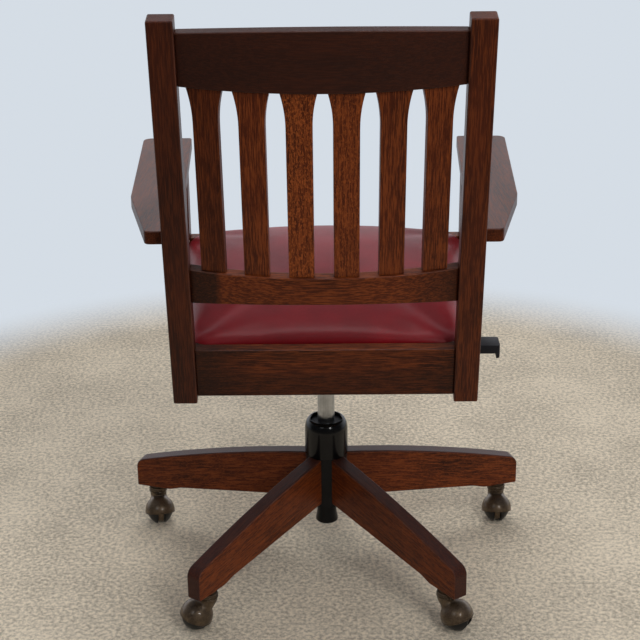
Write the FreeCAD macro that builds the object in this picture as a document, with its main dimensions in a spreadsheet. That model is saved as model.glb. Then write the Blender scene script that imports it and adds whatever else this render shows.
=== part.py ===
import FreeCAD, Part
import math
import os
import re
import Sketcher

# Swivel desk chair. +Z up, the sitter faces -Y, +X is the sitter's left.
# The origin is on the floor, on the axis of the column.

Vector = FreeCAD.Vector
Rotation = FreeCAD.Rotation
Placement = FreeCAD.Placement
axisX = Vector(1, 0, 0)
axisY = Vector(0, 1, 0)
axisZ = Vector(0, 0, 1)

os.makedirs("parts", exist_ok=True)
doc = FreeCAD.newDocument("DeskChair")
sheet = doc.addObject("Spreadsheet::Sheet", "Sizes")

# Driving dimensions in millimetres and degrees
sizes = {
    # all cuts run past the piece by this much
    "overrun": 40,
    # clearances
    "runningGap": 0.05,
    "softGap": 0.3,
    "looseGap": 0.5,
    # back posts, leaning back by the rake; the foot is the lower rear edge
    "backWidth": 444,
    "postWidth": 35,
    "postDepth": 29,
    "postLength": 586,
    "postRake": 10.6,
    "postFootY": 250,
    "postFootDrop": 99.3,
    "postEase": 2.5,
    # crest rail and lower back rail, bowed to the rear; heights run along the posts
    "backRailRecess": 8,
    "backRailThickness": 18,
    "backBow": 28,
    "backRailEase": 1.6,
    "crestTopGap": 19,
    "crestEndHeight": 72.5,
    "crestArch": 12,
    "lowerRailLow": 168,
    "lowerRailEndHeight": 54,
    "lowerRailArch": 12,
    # slats between the two rails, spread evenly along the bow
    "slatCount": 6,
    "slatWidth": 35,
    "slatFlare": 7,
    "slatFlareLength": 50,
    "slatThickness": 10,
    "slatRecess": 4,
    "slatEase": 1,
    # seat rails; drops and rises of the upper half are taken from the top of these rails
    "seatSlope": 2.5,
    "seatRailTop": 476.3,
    "seatRailThickness": 22,
    "seatRailHeight": 79,
    "seatRailEase": 1.5,
    "rearRailLow": 9.2,
    "rearRailRecess": 7,
    "sideRailRearInset": 8,
    "frontRailRecess": 5,
    # posts under the arms
    "armPostWidth": 35,
    "armPostSpread": 9,
    "armPostFront": -222,
    "armPostDrop": 86.3,
    # arms, seen from above
    "armRise": 176.7,
    "armThickness": 19,
    "armFrontLap": 4,
    "armFrontOuterLap": 39,
    "armFrontInnerLap": 7,
    "armElbowY": 113,
    "armElbowLap": 20,
    "armRearInset": 18.6,
    "armRearLap": 25,
    "armWaistY": 22,
    "armFrontCorner": 14,
    "armElbowCorner": 60,
    "armRearCorner": 8,
    "armInnerCorner": 5,
    "armEase": 2,
    # seat board, let into the rails
    "boardThickness": 12,
    "boardDrop": 4,
    "sideLedge": 6,
    "frontLedge": 12,
    "rearLedge": 4,
    "boardFrontCorner": 46,
    "boardCornerInset": 38,
    # cushion
    "cushionCrown": 40,
    "crownRadius": 2000,
    "cushionRoll": 14,
    "cushionDrawIn": 2.5,
    # tilt plate under the board
    "plateHalfWidth": 100,
    "plateFront": -112,
    "plateRear": 58,
    "plateThickness": 3,
    "plateScrewInset": 15,
    "plateScrewRadius": 2.5,
    "plateScrewHeadRadius": 5,
    "plateScrewHeadHeight": 3,
    "plateScrewLength": 9,
    "earGap": 2,
    "earHalf": 16,
    "earDrop": 14,
    "hangerAhead": 9,
    "hangerBehind": 17.5,
    "hangerGap": 2,
    "hangerFloor": 27,
    "slotAhead": 5.5,
    "slotBehind": 14,
    # tilt pin
    "pinY": -60,
    "pinDrop": 42.3,
    "pinRadius": 5,
    # housing of the mechanism
    "housingFront": -118,
    "housingRear": 62,
    "housingHalfWidth": 42,
    "housingWall": 3,
    "housingDrop": 59,
    "housingHeight": 70,
    "housingRearHeight": 43,
    "housingBreakY": -30,
    "bossRadius": 22,
    "bossDrop": 9,
    "bossRise": 37,
    # tension knob with its screw, spring and nut
    "screwY": -95,
    "screwRadius": 4,
    "screwRise": 73,
    "knobRadius": 22,
    "knobHeight": 32,
    "knobEase": 2.4,
    "knobLobes": 8,
    "knobLobeRadius": 5,
    "springInner": 5.5,
    "springOuter": 12,
    "springLength": 31,
    "nutHeight": 8,
    "nutHalfWidth": 12,
    # gas cylinder with its release button
    "cylinderRadius": 14,
    "cylinderStand": 106,
    "cylinderRise": 40,
    "taperLength": 49,
    "taperFall": 1.2,
    "cylinderWall": 2,
    "plugThickness": 8,
    "boreDrop": 31,
    "buttonRadius": 4,
    "buttonSocketDepth": 14,
    "buttonTravel": 4.5,
    "buttonPlay": 0.2,
    # piston rod with its bearing and clip
    "rodRadius": 5,
    "rodTail": 5,
    "pistonStop": 10.5,
    "pistonThickness": 10,
    "bearingRadius": 12,
    "bearingHeight": 6,
    "collarRadius": 8,
    "collarHeight": 4,
    "clipRadius": 8,
    "clipThickness": 1.4,
    # release lever
    "leverRadius": 4,
    "leverRise": 9,
    "leverInnerEnd": 6,
    "leverPivot": 33,
    "leverBendStart": 52,
    "leverBendEnd": 106,
    "leverFall": 60,
    "leverBendRadius": 24,
    "trunnionRadius": 3,
    "trunnionHalf": 12,
    "lugInner": 7,
    "lugHalfWidth": 5,
    "slotHalf": 7,
    "paddleInner": 236,
    "paddleOuter": 281,
    "paddleHalfWidth": 19,
    "paddleRise": 6,
    "paddleThickness": 14,
    "paddleLip": 8,
    "paddleLipThickness": 6,
    "paddleCorner": 5,
    "paddleGrip": 18,
    # column tube and guide bush; the foot hangs below the undersides of the leg ends
    "tubeRadius": 25,
    "tubeWall": 2,
    "tubeLength": 182,
    "shoulderRise": 36,
    "tubeNeckRadius": 18.5,
    "tubeDrop": 17,
    "tubeFloor": 4,
    "bushLength": 48,
    "bushFlange": 3,
    # hub
    "coreRadius": 34.5,
    "coreRise": 23,
    "coreHeight": 88,
    "coreSpigot": 10,
    "bellStep": 1,
    "bellFit": 0.1,
    "bellWall": 2.5,
    "bellHeight": 62,
    "bellShoulder": 20,
    "bellHoleGap": 1,
    # legs, seen from the side
    "legThickness": 25,
    "legReach": 345,
    "legRootHeight": 82,
    "legCrownRise": 6,
    "legTipRise": 48,
    "legNoseRadius": 16,
    "legHeelRadius": 36,
    "legPadLength": 61,
    "legHeelLength": 20,
    "legHeelRise": 6,
    "legEase": 2.5,
    # stud and cross nut that hold each leg
    "studDrop": 42,
    "studRadius": 4,
    "studGrip": 5,
    "studReach": 58,
    "crossNutSetback": 8,
    "crossNutRadius": 7,
    "crossNutHalf": 11,
    # caster socket and stem
    "casterInset": 33,
    "socketRadius": 6.5,
    "socketDepth": 38,
    "socketFlangeRadius": 12,
    "socketFlange": 1.5,
    "stemRadius": 4,
    "stemRise": 33,
    "stemDrop": 19,
    # ball caster: two half balls on a level axle, under a hood
    "wheelRadius": 22.5,
    "padRise": 18,
    "wheelInnerFace": 5.6,
    "wheelTread": 2.4,
    "wheelFaceRadius": 7,
    "domeAngle": 47,
    "hoodGap": 0.4,
    "hoodWall": 1.3,
    "hoodTilt": 22,
    "hoodDrop": 5,
    "rimStep": 4.3,
    "rimThickness": 1.8,
    "rimShift": 1.5,
    "casterOffset": 19,
    "neckRadius": 13.4,
    "neckRise": 10.5,
    "neckFoot": 4,
    "collarStep": 1.4,
    "collarBand": 4,
    "waistBand": 8,
    "neckGap": 0.7,
    "webHalf": 4.6,
    "webInset": 2.5,
    "axleRadius": 3,
    "axleHeadRadius": 5.6,
    "axleHead": 1,
    "axlePlay": 0.1,
    # the way each caster points at rest, from its stem to its ball
    "turnFront": -60,
    "turnLeftFront": 101,
    "turnLeftRear": 8,
    "turnRightRear": 148,
    "turnRightFront": 90,
}

# Sizes that follow from the driving ones
derived = {
    # from the wheels up to the top of the base
    "wheelOuterFace": "sqrt(wheelRadius^2 - wheelFaceRadius^2)",
    "rimRadius": "wheelRadius + rimStep",
    "webRadius": "wheelRadius - webInset",
    "neckBottom": "wheelRadius + neckRise",
    "legPadZ": "2 * wheelRadius + padRise",
    "legTipZ": "legPadZ + legTipRise",
    "coreBottom": "legPadZ + coreRise",
    "coreTop": "coreBottom + coreHeight",
    "bellRadius": "coreRadius + bellStep",
    "studZ": "coreTop - studDrop",
    "tubeFoot": "legPadZ - tubeDrop",
    "tubeShoulder": "tubeFoot + shoulderRise",
    "tubeTop": "tubeFoot + tubeLength",
    "cylinderBottom": "tubeFoot + cylinderStand",
    # from the top of the seat rails to the back and the arms
    "postFootZ": "seatRailTop - postFootDrop",
    "armPostFoot": "seatRailTop - armPostDrop",
    "armPostInner": "backWidth / 2 + armPostSpread",
    "armTop": "seatRailTop + armRise",
    "armRearY": "postFootY + (armTop - postFootZ) * tan(postRake) - armRearInset",
    "boardRearCorner": "2 * postWidth - boardCornerInset",
    "slatPitch": "2 * (backWidth / 2 - postWidth) / slatCount",
    # from there down to the mechanism
    "pinZ": "seatRailTop - pinDrop",
    "housingBottom": "pinZ - housingDrop",
    "hangerInner": "springOuter + hangerGap",
    "cylinderTop": "housingBottom + cylinderRise",
    "taperBottom": "cylinderTop - taperLength",
    "taperTopRadius": "cylinderRadius - taperFall",
    "boreTop": "cylinderTop - boreDrop",
    "leverZ": "cylinderTop + leverRise",
    "leverOuterZ": "leverZ - leverFall",
    "paddleTop": "leverOuterZ + paddleRise",
}

for row, (alias, value) in enumerate(sizes.items(), start=1):
    sheet.set(f"A{row}", alias)
    sheet.set(f"B{row}", str(value))
    sheet.setAlias(f"B{row}", alias)
doc.recompute()

nodes = {}
# sine of the least angle between two faces that makes an edge
sharpSine = 0.1


def expand(expression):
    # writes an expression in the driving sizes alone
    text = str(expression)
    while any(word in derived for word in re.findall(r"[A-Za-z_]\w*", text)):
        text = re.sub(r"[A-Za-z_]\w*", lambda word: f"({derived[word.group(0)]})"
                      if word.group(0) in derived else word.group(0), text)
    return text


def val(expression):
    return float(sheet.evalExpression(expand(expression)))


def bound(expression):
    return re.sub(r"[A-Za-z_]\w*", lambda word: "Sizes." + word.group(0)
                  if word.group(0) in sizes else word.group(0), expand(expression))


def spot(x, y, z="0"):
    return Vector(val(x), val(y), val(z))


def at(x="0", y="0", z="0", axis=axisZ, angle="0"):
    return Placement(spot(x, y, z), Rotation(axis, val(angle)))


def node(label, thing, place=None):
    thing.Label = label
    if place is not None:
        thing.Placement = place
    nodes[label] = thing
    return thing


def solid(kind, place=None, **fields):
    thing = doc.addObject("Part::" + kind, kind)
    for field, expression in fields.items():
        thing.setExpression(field, bound(expression))
    if place is not None:
        thing.Placement = place
    return thing


def box(x, y, z, length, width, height):
    return solid("Box", at(x, y, z), Length=length, Width=width, Height=height)


def rod(start, height, radius, x="0", y="0"):
    return solid("Cylinder", at(x, y, start), Radius=radius, Height=height)


def crossRod(x, y, z, length, radius, axis):
    # a round bar along X or Y
    turn = Rotation(axisY, 90) if axis == "x" else Rotation(axisX, -90)
    return solid("Cylinder", Placement(spot(x, y, z), turn), Radius=radius, Height=length)


def fuse(*things):
    joined = doc.addObject("Part::MultiFuse", "Joined")
    joined.Shapes = list(things)
    joined.Refine = True
    return joined


def cut(base, *tools):
    tool = tools[0] if len(tools) == 1 else fuse(*tools)
    left = doc.addObject("Part::Cut", "Cut")
    left.Base = base
    left.Tool = tool
    return left


def common(base, tool):
    shared = doc.addObject("Part::Common", "Common")
    shared.Base = base
    shared.Tool = tool
    return shared


def origin(body, role):
    return next(item for item in body.Origin.OriginFeatures if item.Role == role)


def drawing(body, plane, name):
    blank = body.newObject("Sketcher::SketchObject", name)
    blank.AttachmentSupport = (origin(body, plane), [""])
    blank.MapMode = "FlatFace"
    return blank


def tie(outline, corners, begin):
    # A corner is (x, y), reached by a line, or (mx, my, x, y), reached by an arc through
    # (mx, my). Every corner is held by its distances from the origin of the drawing.
    ties = []
    joints = []
    before = begin
    for corner in corners:
        start = spot(*before)
        end = spot(*corner[-2:])
        if len(corner) == 2:
            edge = outline.addGeometry(Part.LineSegment(start, end), False)
        else:
            edge = outline.addGeometry(Part.Arc(start, spot(*corner[:2]), end), False)
        forward = outline.getPoint(edge, 2).distanceToPoint(end) < outline.getPoint(
            edge, 1).distanceToPoint(end)
        joints.append((edge, 1 if forward else 2, 2 if forward else 1))
        ties.append((edge, joints[-1][2], corner[-2:]))
        if len(corner) == 4:
            mark = outline.addGeometry(Part.Point(spot(*corner[:2])), True)
            outline.addConstraint(Sketcher.Constraint("PointOnObject", mark, 1, edge))
            ties.append((mark, 1, corner[:2]))
        before = corner[-2:]
    for (edge, _, tail), (following, head, _) in zip(joints, joints[1:]):
        outline.addConstraint(Sketcher.Constraint("Coincident", edge, tail, following, head))
    if corners[-1][-2:] == begin:
        outline.addConstraint(Sketcher.Constraint(
            "Coincident", joints[-1][0], joints[-1][2], joints[0][0], joints[0][1]))
    else:
        ties.append((joints[0][0], joints[0][1], begin))
    for edge, end, (x, y) in ties:
        for kind, expression in (("DistanceX", x), ("DistanceY", y)):
            held = outline.addConstraint(Sketcher.Constraint(kind, -1, 1, edge, end, val(expression)))
            outline.setExpression(f"Constraints[{held}]", bound(expression))


def sketch(body, plane, corners):
    outline = drawing(body, plane, "Outline")
    tie(outline, corners, corners[-1][-2:])
    return outline


def newBody():
    return doc.addObject("PartDesign::Body", "Body")


def pad(body, drawing, length, sides="Symmetric"):
    feature = body.newObject("PartDesign::Pad", "Pad")
    feature.Profile = drawing
    feature.SideType = sides
    feature.setExpression("Length", bound(length))
    return feature


def pocket(body, drawing, length):
    feature = body.newObject("PartDesign::Pocket", "Pocket")
    feature.Profile = drawing
    feature.SideType = "Symmetric"
    feature.setExpression("Length", bound(length))
    return feature


def sharpEdges(shape):
    # edges where two faces meet at an angle; those where they run into each other stay
    names = []
    for index, edge in enumerate(shape.Edges, start=1):
        middle = edge.valueAt((edge.FirstParameter + edge.LastParameter) / 2)
        sides = [face for face in shape.Faces if any(edge.isSame(other) for other in face.Edges)]
        slants = [face.normalAt(*face.Surface.parameter(middle)) for face in sides]
        if len(slants) == 2 and slants[0].cross(slants[1]).Length > sharpSine:
            names.append(f"Edge{index}")
    return names


def ease(body, feature, radius):
    doc.recompute()
    softened = body.newObject("PartDesign::Fillet", "Ease")
    softened.Base = (feature, sharpEdges(feature.Shape))
    softened.setExpression("Radius", bound(radius))
    return softened


def board(plane, corners, thickness, radius=None, sides="Symmetric"):
    # a flat piece of the given outline, with its edges eased
    body = newBody()
    feature = pad(body, sketch(body, plane, corners), thickness, sides)
    if radius:
        ease(body, feature, radius)
    return body


def turned(corners):
    # a body of revolution about Z from an outline of (radius, height) corners
    body = newBody()
    feature = body.newObject("PartDesign::Revolution", "Turned")
    feature.Profile = sketch(body, "XZ_Plane", corners)
    feature.ReferenceAxis = (origin(body, "Z_Axis"), [""])
    feature.Angle = 360
    return body


def rectangle(x0, y0, x1, y1):
    return [(x1, y0), (x1, y1), (x0, y1), (x0, y0)]


def rounded(body, radius, corners, across=axisZ):
    # rounds the edges that cross the outline at these corners
    doc.recompute()
    base = body.Tip
    names = []
    for x, y in corners:
        place = spot(x, y) if across == axisZ else spot(x, "0", y)
        gaps = []
        for index, edge in enumerate(base.Shape.Edges, start=1):
            ends = [vertex.Point for vertex in edge.Vertexes]
            if len(ends) == 2 and (ends[1] - ends[0]).cross(across).Length < edge.Length / 100:
                gaps.append(((ends[0] - place).cross(across).Length, index))
        names.append(f"Edge{min(gaps)[1]}")
    turn = body.newObject("PartDesign::Fillet", "Corners")
    turn.Base = (base, names)
    turn.setExpression("Radius", bound(radius))
    return turn


# Working frames: the leaning back and the sloping seat

rake = val("postRake")
slope = val("seatSlope")
backFrame = Placement(spot("0", "postFootY", "postFootZ"), Rotation(axisX, -rake))
seatFrame = Placement(spot("0", "0", "seatRailTop"), Rotation(axisX, -slope))
backSpan = "(backWidth / 2 - postWidth)"


# Back posts

def backPost(side):
    halfWidth = "postWidth / 2"
    post = board("XY_Plane", rectangle(f"-{halfWidth}", "-postDepth", halfWidth, "0"),
                 "postLength", "postEase", "One side")
    post.Placement = backFrame * at(f"{side} * (backWidth - postWidth) / 2")
    return post


leftPost = node("left_back_post", backPost(1))
rightPost = node("right_back_post", backPost(-1))


# Crest rail and lower back rail: one bow in plan, an arch along one edge

railRear = "(backBow - backRailRecess)"
overSpan = f"({backSpan} + overrun)"
crestLow = "(postLength - crestTopGap - crestEndHeight)"
crestFull = "(crestEndHeight + crestArch)"


def bowedRail(height, archCorners):
    body = newBody()
    plan = [
        ("0", railRear, f"-{backSpan}", "-backRailRecess"),
        (f"-{backSpan}", "-backRailRecess - backRailThickness"),
        ("0", f"{railRear} - backRailThickness", backSpan, "-backRailRecess - backRailThickness"),
        (backSpan, "-backRailRecess"),
    ]
    pad(body, sketch(body, "XY_Plane", plan), height, "One side")
    doc.recompute()
    full = body.Shape.Volume
    pocket(body, sketch(body, "XZ_Plane", archCorners), "4 * (backBow + backRailThickness)")
    doc.recompute()
    if body.Shape.Volume >= full:
        raise ValueError("the arch of a back rail cuts nothing")
    ease(body, body.Tip, "backRailEase")
    return body


crest = bowedRail(crestFull, [
    (overSpan, "crestEndHeight"),
    (overSpan, f"{crestFull} + overrun"),
    (f"-{overSpan}", f"{crestFull} + overrun"),
    (f"-{overSpan}", "crestEndHeight"),
    (f"-{backSpan}", "crestEndHeight"),
    ("0", crestFull, backSpan, "crestEndHeight"),
])
node("crest_rail", crest, backFrame * at(z=crestLow))

lowerRail = bowedRail("lowerRailEndHeight", [
    (backSpan, "0"),
    ("0", "lowerRailArch", f"-{backSpan}", "0"),
    (f"-{overSpan}", "0"),
    (f"-{overSpan}", "-overrun"),
    (overSpan, "-overrun"),
    (overSpan, "0"),
])
node("lower_back_rail", lowerRail, backFrame * at(z="lowerRailLow"))


# Slats, flared at the top, standing on the bow between the rails

def slat(number):
    low = "(lowerRailLow + lowerRailEndHeight)"
    half = "(slatWidth / 2)"
    top = f"({crestLow} - {low})"
    waist = f"({top} - slatFlareLength)"
    halfway = f"({top} - slatFlareLength / 2)"
    # the flare starts parallel to the slat, so a quarter of it lies in its first half
    bulge = f"({half} + slatFlare / 4)"
    wide = f"({half} + slatFlare)"
    body = board("XZ_Plane", [
        (f"-{half}", "0"),
        (half, "0"),
        (half, waist),
        (bulge, halfway, wide, top),
        (f"-{wide}", top),
        (f"-{bulge}", halfway, f"-{half}", waist),
    ], "slatThickness", "slatEase")
    reach = val(backSpan)
    bow = val("backBow")
    bowRadius = (reach ** 2 + bow ** 2) / (2 * bow)
    angle = (number - (val("slatCount") - 1) / 2) * val("slatPitch") / bowRadius
    radius = bowRadius - val("slatRecess + slatThickness / 2")
    centreY = val(railRear) - bowRadius + radius * math.cos(angle)
    centre = Vector(radius * math.sin(angle), centreY, val(low))
    body.Placement = backFrame * Placement(centre, Rotation(axisZ, -math.degrees(angle)))
    return body


def group(label, things):
    pile = doc.addObject("Part::Compound", "Group")
    pile.Links = things
    return node(label, pile)


group("back_slats", [slat(number) for number in range(int(val("slatCount")))])


# Posts under the arms

def armPost(side):
    near = f"{side} * armPostInner"
    far = f"{side} * (armPostInner + armPostWidth)"
    post = board("XY_Plane", rectangle(near, "armPostFront", far, "armPostFront + armPostWidth"),
                 "armTop - armThickness - armPostFoot", "postEase", "One side")
    post.Placement = at(z="armPostFoot")
    return post


node("left_arm_post", armPost(1))
node("right_arm_post", armPost(-1))


# Arms: flat boards, widest in front, notched round the back posts

def arm(side, post):
    front = "(armPostFront - armFrontLap)"
    frontOuter = f"{side} * (armPostInner + armPostWidth + armFrontOuterLap)"
    elbow = f"{side} * (armPostInner + armPostWidth + armElbowLap)"
    rearOuter = f"{side} * (backWidth / 2 + armRearLap)"
    frontInner = f"{side} * (armPostInner - armFrontInnerLap)"
    waist = f"{side} * ({backSpan} + armRearLap)"
    body = board("XY_Plane", [
        (frontOuter, front),
        (elbow, "armElbowY"),
        (rearOuter, "armRearY"),
        (f"{side} * {backSpan}", "armRearY"),
        (waist, "armWaistY"),
        (frontInner, front),
    ], "armThickness", None, "One side")
    rounded(body, "armFrontCorner", [(frontOuter, front)])
    rounded(body, "armElbowCorner", [(elbow, "armElbowY")])
    rounded(body, "armRearCorner", [(rearOuter, "armRearY")])
    rounded(body, "armInnerCorner", [(frontInner, front)])
    ease(body, body.Tip, "armEase")
    body.Placement = at(z="armTop - armThickness")
    return cut(body, post)


node("left_arm", arm(1, leftPost))
node("right_arm", arm(-1, rightPost))


# Plan of the seat board and of the cushion on it, in the frame of the seat

boardFront = "(armPostFront + frontRailRecess + seatRailThickness - frontLedge)"
# the rear rail leans with the posts, so its front face is found at the height of the board
boardRear = ("(postFootY + (seatRailTop - boardDrop - postFootZ) * tan(postRake)"
             " - (rearRailRecess + seatRailThickness) / cos(postRake) + rearLedge)")
boardFrontHalf = "(armPostInner + sideLedge)"
boardRearHalf = "(backWidth / 2 - sideRailRearInset - seatRailThickness + sideLedge)"


def seatPad(grow, drawIn, height):
    # trapezium with round corners, standing out by grow, its sides drawn in between corners
    front = f"({boardFront} - {grow})"
    rear = f"({boardRear} + {grow})"
    frontHalf = f"({boardFrontHalf} + {grow})"
    rearHalf = f"({boardRearHalf} + {grow})"
    middle = f"(({frontHalf} + {rearHalf}) / 2 - {drawIn})"
    if drawIn == "0":
        corners = [(frontHalf, front), (rearHalf, rear), (f"-{rearHalf}", rear), (f"-{frontHalf}", front)]
    else:
        midway = f"(({front} + {rear}) / 2)"
        corners = [
            ("0", f"{front} + {drawIn}", frontHalf, front),
            (middle, midway, rearHalf, rear),
            ("0", f"{rear} - {drawIn}", f"-{rearHalf}", rear),
            (f"-{middle}", midway, f"-{frontHalf}", front),
        ]
    body = newBody()
    pad(body, sketch(body, "XY_Plane", corners), height, "One side")
    rounded(body, "boardFrontCorner", [(frontHalf, front), (f"-{frontHalf}", front)])
    rounded(body, "boardRearCorner", [(rearHalf, rear), (f"-{rearHalf}", rear)])
    return body


boardLow = "(-boardDrop - boardThickness)"


def plateCorners():
    inset = "plateScrewInset"
    return [(f"{side} * (plateHalfWidth - {inset})", y)
            for side in (1, -1) for y in (f"plateFront + {inset}", f"plateRear - {inset}")]


def seatBoard():
    # with blind holes for the screws of the tilt plate
    plain = seatPad("0", "0", "boardThickness")
    plain.Placement = seatFrame * at(z=boardLow)
    drills = []
    for x, y in plateCorners():
        drill = solid("Cylinder", Radius="plateScrewRadius", Height="plateScrewLength + overrun")
        drill.Placement = seatFrame * at(x, y, f"{boardLow} - overrun")
        drills.append(drill)
    return cut(plain, *drills)


node("seat_board", seatBoard())


def boardRecess():
    recess = seatPad("looseGap", "0", "boardDrop + boardThickness + overrun")
    recess.Placement = seatFrame * at(z=boardLow)
    return recess


# Seat rails, rebated for the board

def backRegion():
    # everything behind the front face of the back posts
    room = solid("Box", Length="2 * backWidth", Width="overrun + postDepth", Height="postLength")
    room.Placement = backFrame * at("-backWidth", "-postDepth", "-overrun")
    return room


def seatBar(length, place, *tools):
    bar = board("XY_Plane", rectangle("0", "0", length, "seatRailThickness"), "seatRailHeight",
                "seatRailEase", "One side")
    bar.Placement = place
    return cut(bar, boardRecess(), *tools)


def sideRail():
    frontY = "(armPostFront + armPostWidth)"
    rearX = "(backWidth / 2 - sideRailRearInset)"
    frontX = "(armPostInner + seatRailThickness)"
    length = f"({boardRear} - {frontY})"
    splay = math.atan2(val(f"{frontX} - {rearX}"), val(length))
    # the bar starts ahead of the arm post and ends behind the back post, and both trim it
    ahead = val("overrun")
    start = Vector(val(frontX) + ahead * math.sin(splay), val(frontY) - ahead * math.cos(splay), 0)
    place = seatFrame * Placement(start, Rotation(axisZ, 90 + math.degrees(splay)))
    front = box("-backWidth", f"{frontY} - 2 * overrun", "armPostFoot - overrun", "2 * backWidth",
                "2 * overrun", "armTop - armPostFoot")
    return seatBar(f"{length} + 2 * overrun", place * at(z="-seatRailHeight"), backRegion(), front)


def mirrored(piece):
    twin = doc.addObject("Part::Mirroring", "Mirrored")
    twin.Source = piece
    twin.Normal = axisX
    return twin


leftRail = node("left_seat_rail", sideRail())
node("right_seat_rail", mirrored(leftRail))

frontPlace = seatFrame * at("-armPostInner", "armPostFront + frontRailRecess", "-seatRailHeight")
node("front_seat_rail", seatBar("2 * armPostInner", frontPlace))
rearPlace = backFrame * at(f"-{backSpan}", "-rearRailRecess - seatRailThickness", "rearRailLow")
node("rear_seat_rail", seatBar(f"2 * {backSpan}", rearPlace))


# Cushion: a crown, drawn-in sides and a rolled upper edge, resting on the board

def cushion():
    block = seatPad("0", "cushionDrawIn", "boardDrop + cushionCrown")
    crown = solid("Sphere", Radius="crownRadius")
    crown.Placement = at(y=f"({boardFront} + {boardRear}) / 2", z="boardDrop + cushionCrown - crownRadius")
    domed = common(block, crown)
    doc.recompute()
    rolled = doc.addObject("Part::Fillet", "Roll")
    rolled.Base = domed
    top = max(domed.Shape.Faces, key=lambda face: face.CenterOfMass.z)
    edges = []
    for index, edge in enumerate(domed.Shape.Edges, start=1):
        if any(edge.isSame(other) for other in top.Edges):
            edges.append((index, val("cushionRoll"), val("cushionRoll")))
    rolled.Edges = edges
    rolled.Placement = seatFrame * at(z="softGap - boardDrop")
    return rolled


node("seat_cushion", cushion())


# Tilt plate: carries the seat, with two ears on the tilt pin and a hanger for the spring

def tiltPlate():
    plate = solid("Box", Length="2 * plateHalfWidth", Width="plateRear - plateFront",
                  Height="plateThickness")
    low = "(-boardDrop - boardThickness - plateThickness)"
    plate.Placement = seatFrame * at("-plateHalfWidth", "plateFront", low)
    holes = []
    for x, y in plateCorners():
        hole = solid("Cylinder", Radius="plateScrewRadius", Height="2 * overrun")
        hole.Placement = seatFrame * at(x, y, f"{low} - overrun")
        holes.append(hole)
    # ears and hanger stop at the slope of the plate
    room = solid("Box", Length="2 * plateHalfWidth", Width="4 * overrun + plateRear - plateFront",
                 Height="2 * overrun")
    room.Placement = seatFrame * at("-plateHalfWidth", "plateFront - 2 * overrun",
                                    f"{low} + plateThickness / 2")
    upright = []
    earInner = "(housingHalfWidth + earGap)"
    for x in (earInner, f"-{earInner} - plateThickness"):
        upright.append(box(x, "pinY - earHalf", "pinZ - earDrop", "plateThickness", "2 * earHalf",
                           "earDrop + overrun"))
    hangerLow = "(housingBottom + hangerFloor)"
    for x in ("hangerInner", "-hangerInner - plateThickness"):
        upright.append(box(x, "screwY - hangerAhead", hangerLow, "plateThickness",
                           "hangerAhead + hangerBehind", "2 * overrun"))
    floor = box("-hangerInner - plateThickness", "screwY - hangerAhead", hangerLow,
                "2 * (hangerInner + plateThickness)", "hangerAhead + hangerBehind", "plateThickness")
    slot = box("-screwRadius - looseGap", "screwY - slotAhead", f"{hangerLow} - overrun / 2",
               "2 * (screwRadius + looseGap)", "slotAhead + slotBehind", "overrun")
    pinHole = crossRod("-plateHalfWidth", "pinY", "pinZ", "2 * plateHalfWidth", "pinRadius + runningGap", "x")
    # the hanger's floor is short of the upper room, so one cut trims only the uprights
    trimmed = cut(fuse(*upright, floor), room)
    return cut(fuse(plate, trimmed), slot, pinHole, *holes)


node("tilt_plate", tiltPlate())


def plateScrew(x, y):
    low = "(-boardDrop - boardThickness - plateThickness)"
    shank = solid("Cylinder", Radius="plateScrewRadius", Height="plateThickness + plateScrewLength")
    shank.Placement = at(x, y, low)
    head = solid("Cone", Radius1="plateScrewRadius", Radius2="plateScrewHeadRadius",
                 Height="plateScrewHeadHeight")
    head.Placement = at(x, y, f"{low} - plateScrewHeadHeight")
    screw = fuse(shank, head)
    screw.Placement = seatFrame
    return screw


group("plate_screws", [plateScrew(x, y) for x, y in plateCorners()])


# Tilt pin, fast in the housing, through the ears

pinHalf = "(housingHalfWidth + earGap + plateThickness + looseGap)"
node("tilt_pin", crossRod(f"-{pinHalf}", "pinY", "pinZ", f"2 * {pinHalf}", "pinRadius", "x"))


# Housing: an open pressed box with a boss for the cone of the gas cylinder

def taperedPlug(low, high, gap):
    # the cone of the cylinder, continued to any two heights
    fall = "((cylinderRadius - taperTopRadius) / (cylinderTop - taperBottom))"
    lower = f"cylinderRadius - {fall} * (({low}) - taperBottom) + {gap}"
    upper = f"cylinderRadius - {fall} * (({high}) - taperBottom) + {gap}"
    return solid("Cone", at(z=low), Radius1=lower, Radius2=upper, Height=f"({high}) - ({low})")


def housingShell(inset, floor, rise):
    front = f"(housingFront + {inset})"
    rear = f"(housingRear - {inset})"
    rearTop = f"(housingBottom + housingRearHeight + {rise})"
    top = f"(housingBottom + housingHeight + {rise})"
    return board("YZ_Plane", [
        (front, floor),
        (rear, floor),
        (rear, rearTop),
        ("housingBreakY", top),
        (front, top),
    ], f"2 * (housingHalfWidth - {inset})")


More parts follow.
